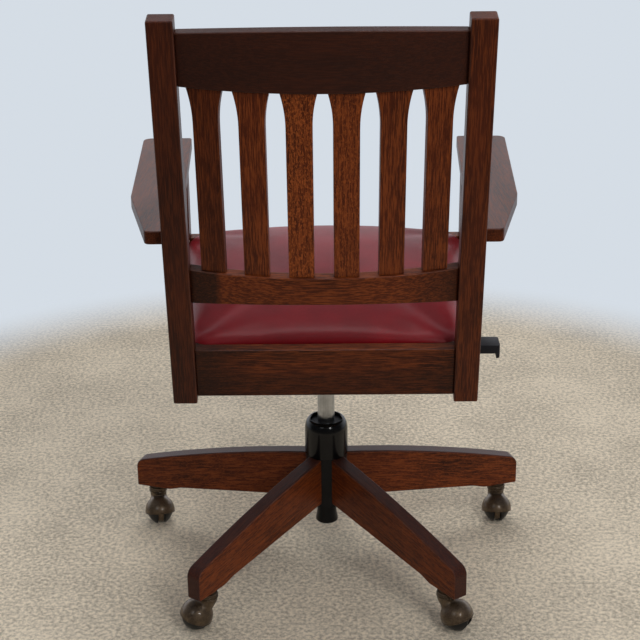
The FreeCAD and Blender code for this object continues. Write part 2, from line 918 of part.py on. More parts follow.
def housing():
    shell = housingShell("0", "housingBottom", "0")
    inside = housingShell("housingWall", "(housingBottom + housingWall)", "overrun")
    bossLow = "(housingBottom - bossDrop)"
    bossTop = "(housingBottom + bossRise)"
    boss = rod(bossLow, "bossDrop + bossRise", "bossRadius")
    lugFloor = "(housingBottom + housingWall)"
    lugs = [box("-leverPivot - lugHalfWidth", y, lugFloor, "2 * lugHalfWidth", "trunnionHalf - lugInner",
                f"leverZ + lugHalfWidth - {lugFloor}") for y in ("lugInner", "-trunnionHalf")]
    bore = taperedPlug(f"{bossLow} - overrun", f"{bossTop} + overrun", "runningGap")
    pinHole = crossRod("-plateHalfWidth", "pinY", "pinZ", "2 * plateHalfWidth", "pinRadius", "x")
    trunnionHole = crossRod("-leverPivot", "-trunnionHalf - overrun", "leverZ",
                            "2 * (trunnionHalf + overrun)", "trunnionRadius + runningGap", "y")
    screwHole = rod("housingBottom - overrun", "2 * overrun", "screwRadius + runningGap", "0", "screwY")
    slot = box("-housingHalfWidth - overrun", "-slotHalf", "leverZ - slotHalf",
               "overrun + 2 * housingWall", "2 * slotHalf", "2 * slotHalf")
    hollow = cut(shell, inside)
    return cut(fuse(hollow, boss, *lugs), bore, pinHole, trunnionHole, screwHole, slot)


node("tilt_housing", housing())


# Tension knob moulded on its screw, under the housing

def tensionKnob():
    top = "(housingBottom - looseGap)"
    low = f"({top} - knobHeight)"
    handle = rod(low, "knobHeight", "knobRadius", "0", "screwY")
    eased = doc.addObject("Part::Fillet", "KnobEase")
    doc.recompute()
    eased.Base = handle
    # the round edges are longer than the seam
    eased.Edges = [(index, val("knobEase"), val("knobEase"))
                   for index, edge in enumerate(handle.Shape.Edges, start=1)
                   if edge.Length > val("4 * knobRadius")]
    flutes = []
    for number in range(int(val("knobLobes"))):
        turn = f"{number} * 360 / knobLobes"
        reach = "(knobRadius + knobLobeRadius / 2)"
        flutes.append(rod(f"{low} - overrun", "2 * overrun + knobHeight", "knobLobeRadius",
                          f"{reach} * cos({turn})", f"screwY + {reach} * sin({turn})"))
    thread = rod(f"{low} + knobHeight / 2", "knobHeight / 2 + looseGap + screwRise",
                 "screwRadius", "0", "screwY")
    return fuse(cut(eased, *flutes), thread)


node("tension_knob", tensionKnob())

springLow = "(housingBottom + hangerFloor + plateThickness)"
spring = cut(rod(f"{springLow} + softGap", "springLength", "springOuter", "0", "screwY"),
             rod(f"{springLow} - overrun", "springLength + 2 * overrun", "springInner", "0", "screwY"))
node("tilt_spring", spring)

nutLow = f"({springLow} + springLength + 2 * softGap)"
nutFront = "(housingFront + housingWall + softGap)"
nut = cut(box("-nutHalfWidth", nutFront, nutLow, "2 * nutHalfWidth",
              f"screwY + springOuter - {nutFront}", "nutHeight"),
          rod(f"{nutLow} - overrun", "2 * overrun + nutHeight", "screwRadius + runningGap", "0", "screwY"))
node("tension_nut", nut)


# Gas cylinder and its release button

def gasCylinder():
    barrel = rod("cylinderBottom", "taperBottom - cylinderBottom", "cylinderRadius")
    cone = taperedPlug("taperBottom", "cylinderTop", "0")
    bore = rod("cylinderBottom + plugThickness", "boreTop - cylinderBottom - plugThickness",
               "cylinderRadius - cylinderWall")
    rodHole = rod("cylinderBottom - overrun", "2 * overrun", "rodRadius + runningGap")
    socket = rod("cylinderTop - buttonSocketDepth", "buttonSocketDepth + overrun",
                 "buttonRadius + runningGap")
    return cut(fuse(barrel, cone), bore, rodHole, socket)


node("gas_cylinder", gasCylinder())

buttonLow = "(cylinderTop - buttonSocketDepth + buttonTravel)"
node("release_button", rod(buttonLow, f"leverZ - leverRadius - buttonPlay - {buttonLow}", "buttonRadius"))


# Piston rod, its bearing on the floor of the tube and its clip below

def pistonRod():
    head = "(cylinderBottom + plugThickness + pistonStop)"
    bottom = "(tubeFoot - rodTail)"
    collarLow = "(tubeFoot + tubeFloor + bearingHeight)"
    stem = rod(bottom, f"{head} - {bottom}", "rodRadius")
    piston = rod(head, "pistonThickness", "cylinderRadius - cylinderWall - runningGap")
    collar = rod(collarLow, "collarHeight", "collarRadius")
    return fuse(stem, piston, collar)


node("piston_rod", pistonRod())


def ring(low, height, outer, inner):
    return cut(rod(low, height, outer), rod(f"{low} - overrun", f"{height} + 2 * overrun", inner))


group("rod_bearing_and_clip", [
    ring("tubeFoot + tubeFloor", "bearingHeight", "bearingRadius", "rodRadius + runningGap"),
    ring("tubeFoot - clipThickness - runningGap", "clipThickness", "clipRadius", "rodRadius"),
])


# Release lever: a bent bar on a trunnion, over the button, with a moulded paddle outside

def releaseLever():
    # laid out from its inner end, running outwards along its own X
    body = newBody()
    drop = "(leverOuterZ - leverZ)"
    first = "(leverBendStart + leverInnerEnd)"
    second = "(leverBendEnd + leverInnerEnd)"
    end = "(paddleInner + paddleGrip + leverInnerEnd)"
    fall = f"atan((-{drop}) / ({second} - {first}))"
    back = f"(leverBendRadius * tan({fall} / 2))"
    half = f"({fall} / 2)"
    upperStart = f"({first} - {back})"
    lowerEnd = f"({second} + {back})"
    path = drawing(body, "XZ_Plane", "Path")
    corners = [
        (upperStart, "0"),
        (f"{upperStart} + leverBendRadius * sin({half})", f"leverBendRadius * (cos({half}) - 1)",
         f"{first} + {back} * cos({fall})", f"-{back} * sin({fall})"),
        (f"{second} - {back} * cos({fall})", f"{drop} + {back} * sin({fall})"),
        (f"{lowerEnd} - leverBendRadius * sin({half})", f"{drop} + leverBendRadius * (1 - cos({half}))",
         lowerEnd, drop),
        (end, drop),
    ]
    tie(path, corners, ("0", "0"))
    section = drawing(body, "YZ_Plane", "Section")
    section.addGeometry(Part.Circle(Vector(), axisZ, val("leverRadius")), False)
    section.addConstraint(Sketcher.Constraint("Coincident", 0, 3, -1, 1))
    section.addConstraint(Sketcher.Constraint("Radius", 0, val("leverRadius")))
    section.setExpression("Constraints[1]", bound("leverRadius"))
    doc.recompute()
    bar = body.newObject("PartDesign::AdditivePipe", "Bar")
    bar.Profile = section
    bar.Spine = (path, [f"Edge{number}" for number in range(1, len(corners) + 1)])
    body.Placement = at("leverInnerEnd", "0", "leverZ", axisZ, "180")
    trunnion = crossRod("-leverPivot", "-trunnionHalf", "leverZ", "2 * trunnionHalf", "trunnionRadius", "y")
    return fuse(body, trunnion)


lever = node("release_lever", releaseLever())


def leverPaddle():
    outline = rectangle("-paddleOuter", "-paddleHalfWidth", "-paddleInner", "paddleHalfWidth")
    plate = board("XY_Plane", outline, "paddleThickness", None, "One side")
    outerCorners = [("-paddleOuter", "-paddleHalfWidth"), ("-paddleOuter", "paddleHalfWidth")]
    rounded(plate, "paddleCorner", outerCorners)
    plate.Placement = at(z="paddleTop - paddleThickness")
    lip = board("XY_Plane", rectangle("-paddleOuter", "-paddleHalfWidth", "-paddleOuter + paddleLipThickness",
                                      "paddleHalfWidth"), "paddleThickness / 2 + paddleLip", None, "One side")
    rounded(lip, "paddleCorner", outerCorners)
    lip.Placement = at(z="paddleTop - paddleThickness - paddleLip")
    socket = crossRod("-paddleInner - paddleGrip", "0", "leverOuterZ", "paddleGrip + overrun",
                      "leverRadius + runningGap", "x")
    return cut(fuse(plate, lip), socket)


node("lever_paddle", leverPaddle())


# Column tube, guide bush, hub core and bell

node("column_tube", turned([
    ("rodRadius + runningGap", "tubeFoot"),
    ("tubeNeckRadius", "tubeFoot"),
    ("tubeNeckRadius", "tubeShoulder - tubeWall"),
    ("tubeRadius", "tubeShoulder + tubeWall"),
    ("tubeRadius", "tubeTop"),
    ("tubeRadius - tubeWall", "tubeTop"),
    ("tubeRadius - tubeWall", "tubeShoulder + 2 * tubeWall"),
    ("tubeNeckRadius - tubeWall", "tubeShoulder"),
    ("tubeNeckRadius - tubeWall", "tubeFoot + tubeFloor"),
    ("rodRadius + runningGap", "tubeFoot + tubeFloor"),
]))

node("guide_bush", turned([
    ("cylinderRadius + runningGap", "tubeTop - bushLength"),
    ("tubeRadius - tubeWall", "tubeTop - bushLength"),
    ("tubeRadius - tubeWall", "tubeTop"),
    ("tubeRadius", "tubeTop"),
    ("tubeRadius", "tubeTop + bushFlange"),
    ("cylinderRadius + runningGap", "tubeTop + bushFlange"),
]))

coreBore = "(tubeRadius + runningGap)"
spigotRadius = "(bellRadius - bellWall - bellFit)"


def hubCore():
    body = turned([
        (coreBore, "coreBottom"),
        ("coreRadius", "coreBottom"),
        ("coreRadius", "coreTop"),
        (spigotRadius, "coreTop"),
        (spigotRadius, "coreTop + coreSpigot"),
        (coreBore, "coreTop + coreSpigot"),
    ])
    drills = []
    for number in range(len(legs)):
        drill = crossRod("coreRadius - studGrip", "0", "studZ", "studGrip + overrun", "studRadius", "x")
        drill.Placement = aroundHub(number) * drill.Placement
        drills.append(drill)
    return cut(body, *drills)


bellTop = "(coreTop + bellHeight)"
bellHole = "(tubeRadius + bellHoleGap)"
bellSlant = "(sqrt(2) / 2)"
node("hub_bell", turned([
    ("bellRadius - bellWall", "coreTop"),
    ("bellRadius", "coreTop"),
    ("bellRadius", f"{bellTop} - bellShoulder"),
    (f"{bellHole} + (bellRadius - {bellHole}) * {bellSlant}", f"{bellTop} - bellShoulder * (1 - {bellSlant})",
     bellHole, bellTop),
    (bellHole, f"{bellTop} - bellWall"),
    (f"{bellHole} + (bellRadius - bellWall - {bellHole}) * {bellSlant}",
     f"{bellTop} - bellWall - (bellShoulder - bellWall) * (1 - {bellSlant})",
     "bellRadius - bellWall", f"{bellTop} - bellShoulder"),
]))


# Legs, coped to the hub core, each with a stud and a cross nut

legs = ["front", "left_front", "left_rear", "right_rear", "right_front"]


def aroundHub(number):
    return at(axis=axisZ, angle=f"-90 + 360 / {len(legs)} * {number}")


def leg(number):
    root = "(coreRadius - legCrownRise)"
    rootTop = "(coreTop - runningGap)"
    padStart = "(legReach - legPadLength)"
    heel = f"({padStart} - legHeelLength)"
    body = board("XZ_Plane", [
        (heel, "legPadZ + legHeelRise"),
        (padStart, "legPadZ"),
        ("legReach", "legPadZ"),
        ("legReach", "legTipZ"),
        (f"({root} + legReach) / 2", f"({rootTop} + legTipZ) / 2 + legCrownRise", root, rootTop),
        (root, f"{rootTop} - legRootHeight"),
    ], "legThickness")
    rounded(body, "legNoseRadius", [("legReach", "legTipZ")], axisY)
    rounded(body, "legHeelRadius", [(heel, "legPadZ + legHeelRise"), (padStart, "legPadZ")], axisY)
    ease(body, body.Tip, "legEase")
    core = rod("coreBottom - overrun", "coreTop - coreBottom + 2 * overrun",
               "coreRadius + runningGap")
    stud = crossRod("coreRadius", "0", "studZ", "studReach", "studRadius + runningGap", "x")
    nutX = "(coreRadius + studReach - crossNutSetback)"
    nutBore = rod("0", "studZ + crossNutHalf", "crossNutRadius + runningGap", nutX)
    sleeve = rod("legPadZ - overrun", "socketDepth + overrun", "socketRadius", "legReach - casterInset")
    piece = cut(body, core, stud, nutBore, sleeve)
    piece.Placement = aroundHub(number)
    return piece


def fastening(number):
    stud = crossRod("coreRadius - studGrip", "0", "studZ", "studGrip + studReach", "studRadius", "x")
    nutX = "(coreRadius + studReach - crossNutSetback)"
    barrel = rod("studZ - crossNutHalf", "2 * crossNutHalf", "crossNutRadius", nutX)
    bore = crossRod("coreRadius", "0", "studZ", "studReach", "studRadius", "x")
    nut = cut(barrel, bore)
    turn = aroundHub(number)
    stud.Placement = turn * stud.Placement
    nut.Placement = turn
    return [stud, nut]


for number, name in enumerate(legs):
    node(f"leg_{name}", leg(number))
group("leg_studs_and_nuts", [piece for number in range(len(legs)) for piece in fastening(number)])
node("hub_core", hubCore())


# Caster sockets and stems, fast in the legs

def socket(number):
    sleeve = rod("legPadZ", "socketDepth", "socketRadius")
    flange = rod("legPadZ - socketFlange", "socketFlange", "socketFlangeRadius")
    bore = rod("legPadZ - overrun", "stemRise + overrun", "stemRadius")
    piece = cut(fuse(sleeve, flange), bore)
    piece.Placement = aroundHub(number) * at("legReach - casterInset")
    return piece


def stem(number):
    piece = solid("Cylinder", Radius="stemRadius", Height="stemRise + stemDrop")
    piece.Placement = aroundHub(number) * at("legReach - casterInset", "0", "legPadZ - stemDrop")
    return piece


group("caster_sockets", [socket(number) for number in range(len(legs))])
group("caster_stems", [stem(number) for number in range(len(legs))])


# Casters, laid out with the stem on Z and the ball on the X side; the axle is along Y

casterTurns = {
    "front": "turnFront",
    "left_front": "turnLeftFront",
    "left_rear": "turnLeftRear",
    "right_rear": "turnRightRear",
    "right_front": "turnRightFront",
}
ballInner = "(sqrt(wheelRadius^2 + (wheelInnerFace + wheelTread)^2) + hoodGap)"
ballOuter = f"({ballInner} + hoodWall)"


def casterPlace(number, name):
    return aroundHub(number) * at("legReach - casterInset") * at(
        angle=f"{casterTurns[name]} + 90 - 360 / {len(legs)} * {number}")


def ball(radius):
    return solid("Sphere", at("casterOffset", "0", "wheelRadius"), Radius=radius)


def rimFrame(shift, lift):
    # the plane of the hood's rim, higher on the side away from the stem
    tilt = Placement(Vector(), Rotation(axisY, -val("hoodTilt")))
    return at("casterOffset", "0", "wheelRadius - hoodDrop") * tilt * at(shift, "0", lift)


def neck():
    top = "(legPadZ - socketFlange - neckGap)"
    wide = "(neckRadius + collarStep)"
    waist = "(neckRadius - collarStep)"
    lowBand = "(neckBottom + neckFoot + collarBand)"
    return turned([
        ("0", "neckBottom"),
        ("neckRadius - neckFoot / 2", "neckBottom"),
        (wide, "neckBottom + neckFoot"),
        (wide, lowBand),
        ("neckRadius", f"{lowBand} + collarStep"),
        (waist, f"({lowBand} + {top} - waistBand) / 2", "neckRadius", f"{top} - waistBand"),
        (wide, f"{top} - waistBand + collarStep"),
        (wide, f"{top} - collarStep"),
        ("neckRadius", top),
        ("0", top),
    ])


def hood(number, name):
    above = solid("Box", Length="4 * rimRadius", Width="4 * rimRadius", Height="4 * rimRadius")
    above.Placement = rimFrame("-2 * rimRadius", "0") * at(y="-2 * rimRadius")
    rim = solid("Cylinder", rimFrame("rimShift", "0"), Radius="rimRadius", Height="rimThickness")
    cap = fuse(common(ball(ballOuter), above), rim, neck())
    shell = cut(cap, ball(ballInner))
    disc = crossRod("casterOffset", "-webHalf", "wheelRadius", "2 * webHalf", "webRadius", "y")
    wide = crossRod("casterOffset", "-webHalf", "wheelRadius", "2 * webHalf",
                    f"{ballInner} + hoodWall / 2", "y")
    upper = solid("Box", Length="4 * rimRadius", Width="4 * rimRadius", Height="4 * rimRadius")
    upper.Placement = rimFrame("-2 * rimRadius", "rimThickness / 2") * at(y="-2 * rimRadius")
    web = fuse(disc, common(wide, upper))
    hole = crossRod("casterOffset", "-overrun", "wheelRadius", "2 * overrun", "axleRadius", "y")
    bore = rod("legPadZ - stemDrop - neckGap", "stemDrop + neckGap + overrun", "stemRadius + runningGap")
    piece = cut(fuse(shell, web), hole, bore)
    piece.Placement = casterPlace(number, name)
    return piece


def wheel(number, name, side):
    face = "(wheelRadius * sin(domeAngle))"
    reach = "(wheelRadius * cos(domeAngle))"
    body = turned([
        ("axleRadius + runningGap", "wheelInnerFace"),
        ("wheelRadius", "wheelInnerFace"),
        ("wheelRadius", "wheelInnerFace + wheelTread"),
        (face, reach, "wheelFaceRadius", "wheelOuterFace"),
        ("axleRadius + runningGap", "wheelOuterFace"),
    ])
    body.Placement = casterPlace(number, name) * at("casterOffset", "0", "wheelRadius") * Placement(
        Vector(), Rotation(axisX, -90 * side))
    return body


def axle(number, name):
    headIn = "(wheelOuterFace + axlePlay)"
    bar = crossRod("casterOffset", f"-{headIn} - axleHead", "wheelRadius", f"2 * ({headIn} + axleHead)",
                   "axleRadius", "y")
    heads = [crossRod("casterOffset", y, "wheelRadius", "axleHead", "axleHeadRadius", "y")
             for y in (headIn, f"-{headIn} - axleHead")]
    piece = fuse(bar, *heads)
    piece.Placement = casterPlace(number, name)
    return piece


for number, name in enumerate(legs):
    node(f"caster_{name}_hood", hood(number, name))
    node(f"caster_{name}_axle", axle(number, name))
    node(f"caster_{name}_wheel_a", wheel(number, name, 1))
    node(f"caster_{name}_wheel_b", wheel(number, name, -1))


# Checks, then one file for each piece

doc.recompute()
for item in doc.Objects:
    if "Invalid" in item.State or "Error" in item.State:
        raise RuntimeError(f"{item.Label} ({item.TypeId}) failed: {item.State}")
for label, thing in nodes.items():
    if thing.Shape.isNull() or not thing.Shape.isValid():
        raise RuntimeError(f"{label} has no valid shape")
for label, thing in nodes.items():
    thing.Shape.exportStep(f"parts/{label}.step")
print(len(nodes), "pieces written")
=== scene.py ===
import math
import bmesh
import bpy
from mathutils import Matrix, Vector


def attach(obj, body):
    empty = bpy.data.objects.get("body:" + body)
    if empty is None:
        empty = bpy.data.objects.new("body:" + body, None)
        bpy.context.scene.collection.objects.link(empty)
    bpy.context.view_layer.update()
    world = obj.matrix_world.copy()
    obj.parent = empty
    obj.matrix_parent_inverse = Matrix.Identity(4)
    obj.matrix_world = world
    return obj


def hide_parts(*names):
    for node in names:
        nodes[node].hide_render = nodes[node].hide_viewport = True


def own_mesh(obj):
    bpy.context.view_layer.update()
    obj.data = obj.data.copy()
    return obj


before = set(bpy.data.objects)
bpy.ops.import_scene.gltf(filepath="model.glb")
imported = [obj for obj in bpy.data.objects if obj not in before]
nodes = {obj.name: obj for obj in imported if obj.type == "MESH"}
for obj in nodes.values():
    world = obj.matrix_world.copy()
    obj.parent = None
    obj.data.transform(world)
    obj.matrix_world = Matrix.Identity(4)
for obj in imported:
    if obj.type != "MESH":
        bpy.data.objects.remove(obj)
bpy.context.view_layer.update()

scene = bpy.context.scene
print("frame loaded:", len(nodes), "nodes")


# Camera, at the photograph's place behind the chair

cameraLook = {
    "place": (-0.0062, 2.212, 1.283), "yaw": -0.38, "pitch": 21.56, "roll": -0.58, "lens": 83.1, "farEnd": 60,
}


def addCamera(look):
    yaw, pitch, roll = (math.radians(look[key]) for key in ("yaw", "pitch", "roll"))
    ahead = Vector((-math.sin(yaw) * math.cos(pitch), -math.cos(yaw) * math.cos(pitch), -math.sin(pitch)))
    level = Vector((-math.cos(yaw), math.sin(yaw), 0))
    upright = level.cross(ahead)
    pictureRight = level * math.cos(roll) + upright * math.sin(roll)
    pictureUp = upright * math.cos(roll) - level * math.sin(roll)
    camera = bpy.data.objects.new("camera", bpy.data.cameras.new("camera"))
    camera.data.lens = look["lens"]
    camera.data.clip_end = look["farEnd"]
    columns = [pictureRight, pictureUp, -ahead, Vector(look["place"])]
    camera.matrix_world = Matrix([[column[row] for column in columns] for row in range(3)] + [[0, 0, 0, 1]])
    scene.collection.objects.link(camera)
    scene.camera = camera


addCamera(cameraLook)
scene.view_settings.view_transform = "Standard"


# Node trees: sockets that take part in arithmetic, and one way to add any node

class Wire:
    def __init__(self, tree, socket):
        self.tree = tree
        self.socket = socket

    def math(self, operation, *others):
        return self.tree.add("ShaderNodeMath", {"operation": operation}, dict(enumerate((self, *others))))

    def __add__(self, other):
        return self.math("ADD", other)

    __radd__ = __add__

    def __sub__(self, other):
        return self.math("SUBTRACT", other)

    def __rsub__(self, other):
        return self.tree.add("ShaderNodeMath", {"operation": "SUBTRACT"}, {0: other, 1: self})

    def __mul__(self, other):
        return self.math("MULTIPLY", other)

    __rmul__ = __mul__

    def __truediv__(self, other):
        return self.math("DIVIDE", other)


class Tree:
    def __init__(self, tree):
        self.tree = tree

    def add(self, kind, settings=None, sockets=None, output=0):
        made = self.tree.nodes.new(kind)
        for key, value in (settings or {}).items():
            if key == "stops":
                self.setStops(made.color_ramp, value)
            elif key == "interpolation":
                made.color_ramp.interpolation = value
            else:
                setattr(made, key, value)
        for key, value in (sockets or {}).items():
            target = made.inputs[key]
            if isinstance(value, Wire):
                self.tree.links.new(value.socket, target)
            elif isinstance(value, tuple) and len(value) == 3 and target.type == "RGBA":
                target.default_value = (*value, 1)
            else:
                target.default_value = value
        return Wire(self, made.outputs[output]) if made.outputs else None

    def setStops(self, ramp, stops):
        # a new ramp has two stops: the first is put to use, the other goes
        ramp.elements.remove(ramp.elements[1])
        for index, (place, tone) in enumerate(stops):
            stop = ramp.elements.new(place) if index else ramp.elements[0]
            stop.position = place
            stop.color = (*tone, 1) if isinstance(tone, tuple) else (tone, tone, tone, 1)

    def mix(self, share, low, high):
        # a Mix node takes its colours at sockets 6 and 7 and gives one at 2
        return self.add("ShaderNodeMix", {"data_type": "RGBA"}, {0: share, 6: low, 7: high}, 2)

    def part(self, vector, axis):
        return self.add("ShaderNodeSeparateXYZ", None, {0: vector}, axis)

    def noise(self, vector, factors, detail=2.0, roughness=0.5, distortion=0.0):
        stretched = self.add("ShaderNodeVectorMath", {"operation": "MULTIPLY"}, {0: vector, 1: factors})
        return self.add("ShaderNodeTexNoise", None, {
            "Vector": stretched, "Scale": 1.0, "Detail": detail, "Roughness": roughness,
            "Distortion": distortion})

    def ramp(self, value, *stops, interpolation="LINEAR"):
        return self.add("ShaderNodeValToRGB", {"stops": stops, "interpolation": interpolation}, {0: value})

    def rise(self, value, steps, interpolation="LINEAR"):
        start, end = steps
        return self.ramp(value, (start, 0.0), (end, 1.0), interpolation=interpolation)


class Finish(Tree):
    def __init__(self, name):
        self.material = bpy.data.materials.new(name)
        self.material.use_nodes = True
        super().__init__(self.material.node_tree)
        self.tree.nodes.clear()
        self.place = self.add("ShaderNodeTexCoord", output="Object")

    def surface(self, sockets):
        shader = self.add("ShaderNodeBsdfPrincipled", None, sockets)
        self.add("ShaderNodeOutputMaterial", None, {"Surface": shader})
        return self.material

    def bump(self, height, strength, distance):
        return self.add("ShaderNodeBump", None, {
            "Height": height, "Strength": strength, "Distance": distance})


def dress(names, material):
    for name in names:
        mesh = nodes[name].data
        mesh.materials.clear()
        mesh.materials.append(material)


# Light and stage

backdrop = (0.665, 0.722, 0.787)
worldLook = {
    "ahead": (1.12, 1.15, 1.22), "above": (0.14, 0.142, 0.158), "behind": (0.08, 0.08, 0.088),
    "aheadSteps": (0.42, 0.80), "aboveSteps": (0.36, 0.62),
}
# azimuth is counted from behind the chair towards the camera's right
lampAim = Vector((0, 0, 0.5))
lampLooks = {
    "window": {"azimuth": 24, "elevation": 24, "distance": 3.6, "size": 0.4, "power": 20},
    "softSide": {"azimuth": -27, "elevation": 30, "distance": 3.4, "size": 1.2, "power": 6,
                 "tone": (0.96, 0.98, 1)},
    "key": {"azimuth": 36, "elevation": 42, "distance": 3.4, "size": 1.2, "power": 24, "mirrored": False},
    "ceiling": {"azimuth": 0, "elevation": 88, "distance": 2.6, "size": 2.6, "power": 20, "mirrored": False},
    "front": {"azimuth": 180, "elevation": 52, "distance": 4.2, "size": 2.4, "power": 50, "mirrored": False},
    "glint": {"azimuth": 0, "elevation": 82, "distance": 2.6, "size": 0.5, "power": 27,
              "tone": (1, 0.80, 0.82), "diffuse": False},
}
floorLook = {
    "radius": 24, "segments": 96, "tone": (0.68, 0.592, 0.46), "darker": 0.60, "paler": 1.22,
    "toneSteps": (0.40, 0.58), "patchShare": 0.22, "roughness": 0.8, "shine": 0.15,
    "speckles": {"factors": (150, 150, 150), "detail": 4, "roughness": 0.7},
    "patches": {"factors": (5, 5, 5), "detail": 4, "roughness": 0.6},
    "rampSpan": 4, "fadeStart": 1.02, "fadeEnd": 1.34,
    "farBehind": (0.10, 0.094, 0.086), "behindSteps": (0.3, 0.6),
}


def addWorld(look):
    # bright and low ahead of the sitter, dim overhead and behind the camera
    world = bpy.data.worlds.new("room")
    world.use_nodes = True
    sky = Tree(world.node_tree)
    sky.tree.nodes.clear()
    way = sky.add("ShaderNodeTexCoord", output="Object")
    forward = 0.5 - 0.5 * sky.part(way, "Y")
    low = sky.mix(sky.rise(forward, look["aheadSteps"], "EASE"), look["behind"], look["ahead"])
    tone = sky.mix(sky.rise(sky.part(way, "Z"), look["aboveSteps"], "EASE"), low, look["above"])
    tone = sky.mix(sky.add("ShaderNodeLightPath", output="Is Camera Ray"), tone, backdrop)
    light = sky.add("ShaderNodeBackground", None, {"Color": tone})
    sky.add("ShaderNodeOutputWorld", None, {"Surface": light})
    scene.world = world


def paleFloor(look):
    finish = Finish("paleFloor")
    span = look["rampSpan"]
    reach = finish.add("ShaderNodeVectorMath", {"operation": "LENGTH"}, {0: finish.place}, "Value")
    fade = finish.rise(reach / span, (look["fadeStart"] / span, look["fadeEnd"] / span), "EASE")
    speckles = finish.noise(finish.place, **look["speckles"])
    patches = finish.noise(finish.place, **look["patches"])
    pattern = speckles * (1 - look["patchShare"]) + patches * look["patchShare"]
    shades = [tuple(value * look[key] for value in look["tone"]) for key in ("darker", "paler")]
    tone = finish.ramp(pattern, *zip(look["toneSteps"], shades))
    ground = finish.add("ShaderNodeBsdfPrincipled", None, {
        "Base Color": tone, "Roughness": look["roughness"], "Specular IOR Level": look["shine"]})
    # far off the floor runs into the backdrop; what the chair mirrors is dimmer behind the camera
    behind = finish.rise(finish.part(finish.place, "Y") / span + 0.5, look["behindSteps"])
    around = finish.mix(behind, backdrop, look["farBehind"])
    seen = finish.mix(finish.add("ShaderNodeLightPath", output="Is Camera Ray"), around, backdrop)
    distance = finish.add("ShaderNodeEmission", None, {"Color": seen})
    both = finish.add("ShaderNodeMixShader", None, {0: fade, 1: ground, 2: distance})
    finish.add("ShaderNodeOutputMaterial", None, {"Surface": both})
    return finish.material


def addFloor(look):
    mesh = bpy.data.meshes.new("floor")
    shape = bmesh.new()
    bmesh.ops.create_circle(shape, cap_ends=True, segments=look["segments"], radius=look["radius"])
    shape.to_mesh(mesh)
    shape.free()
    floor = bpy.data.objects.new("floor", mesh)
    scene.collection.objects.link(floor)
    mesh.materials.append(paleFloor(look))


def addLight(name, azimuth, elevation, distance, size, power, tone=(1, 1, 1), mirrored=True, diffuse=True):
    turn, rise = math.radians(azimuth), math.radians(elevation)
    away = Vector((-math.sin(turn) * math.cos(rise), math.cos(turn) * math.cos(rise), math.sin(rise)))
    data = bpy.data.lights.new(name, "AREA")
    data.shape = "DISK"
    data.size = size
    data.energy = power
    data.color = tone
    lamp = bpy.data.objects.new(name, data)
    lamp.location = lampAim + away * distance
    lamp.rotation_euler = away.to_track_quat("Z", "Y").to_euler()
    lamp.visible_glossy = mirrored
    lamp.visible_diffuse = diffuse
    scene.collection.objects.link(lamp)


addWorld(worldLook)
addFloor(floorLook)
for lampName, lampLook in lampLooks.items():
    addLight(lampName, **lampLook)
print("camera and stage made")


# Oak: stained, satin lacquered, grain along each board

# the oak's haze tone is a painted grey sheen, and its top tone a painted shade on the legs' tops
oakLook = {
    "dark": (0.024, 0.0068, 0.0038), "brown": (0.125, 0.0238, 0.0072), "warm": (0.32, 0.073, 0.0165),
    "fleck": (0.42, 0.102, 0.022), "worn": (0.20, 0.10, 0.075), "black": (0.016, 0.0065, 0.0045),
    "haze": (0.042, 0.0160, 0.0112), "top": (0.030, 0.0125, 0.0115), "shine": 0.17,
    "seedShift": (0.37, 0.61, 0.83), "bandShare": 0.15, "brownShift": 0.36, "brownSteps": (0.48, 1.04),
    "streakSteps": (0.46, 0.57), "raySteps": (0.485, 0.60), "poreSteps": (0.33, 0.42), "poreDepth": 0.45,
    "topShadeStops": ((0.35, 0.8), (0.8, 0.0)), "edgeSteps": (0.3, 0.9), "edgeStops": ((0.3, 0.25), (0.65, 1.0)),
    "edgeDepth": 0.3, "roughness": 0.36, "streakRough": 0.10, "edgeRough": 0.12, "stainSmooth": 0.05,
    "poreRelief": 0.6, "streakRelief": 0.4, "relief": 0.35, "reliefDepth": 0.00035,
}
oakGrain = {
    "stain": {"factors": (18, 18, 5), "detail": 3, "roughness": 0.55},
    "bands": {"factors": (260, 260, 16), "detail": 2, "roughness": 0.5},
    "streaks": {"factors": (680, 680, 36), "detail": 2, "roughness": 0.6},
    "pores": {"factors": (1150, 1150, 36), "detail": 2, "roughness": 0.5},
    "rays": {"factors": (560, 560, 210), "detail": 3, "roughness": 0.6, "distortion": 0.7},
}
up = (0, 0, 1)
across = (1, 0, 0)
rake = math.radians(10.6)
backUp = (0, math.sin(rake), math.cos(rake))
backOut = (0, math.cos(rake), -math.sin(rake))
# node: grain, the axis whose faces the worn edges border, shares of brown, of warm lines and of fleck
boards = {
    "left_back_post": (backUp, across, 0.34, 0.22, 0.0),
    "right_back_post": (backUp, across, 0.54, 0.36, 0.0),
    "crest_rail": (across, backUp, 0.22, 0.14, 0.0),
    "lower_back_rail": (across, backUp, 0.86, 0.62, 0.10),
    "back_slats": (backUp, backOut, 0.84, 0.60, 0.0),
    "left_arm": ((0.06, 1, 0), up, 0.30, 0.25, 0.10),
    "right_arm": ((-0.06, 1, 0), up, 0.30, 0.25, 0.10),
    "left_arm_post": (up, across, 0.45, 0.35, 0.1),
    "right_arm_post": (up, across, 0.45, 0.35, 0.1),
    "rear_seat_rail": (across, backUp, 0.24, 0.42, 0.08),
    "front_seat_rail": (across, up, 0.35, 0.5, 0.3),
    "left_seat_rail": ((0.06, 1, -0.04), up, 0.35, 0.5, 0.1),
    "right_seat_rail": ((-0.06, 1, -0.04), up, 0.35, 0.5, 0.1),
}
legNames = ("front", "left_front", "left_rear", "right_rear", "right_front")
legTurns = {name: math.radians(-90 + 360 / len(legNames) * number) for number, name in enumerate(legNames)}
legLook = {"slope": -0.16, "brown": 0.66, "lines": 0.52, "fleck": 0.28}
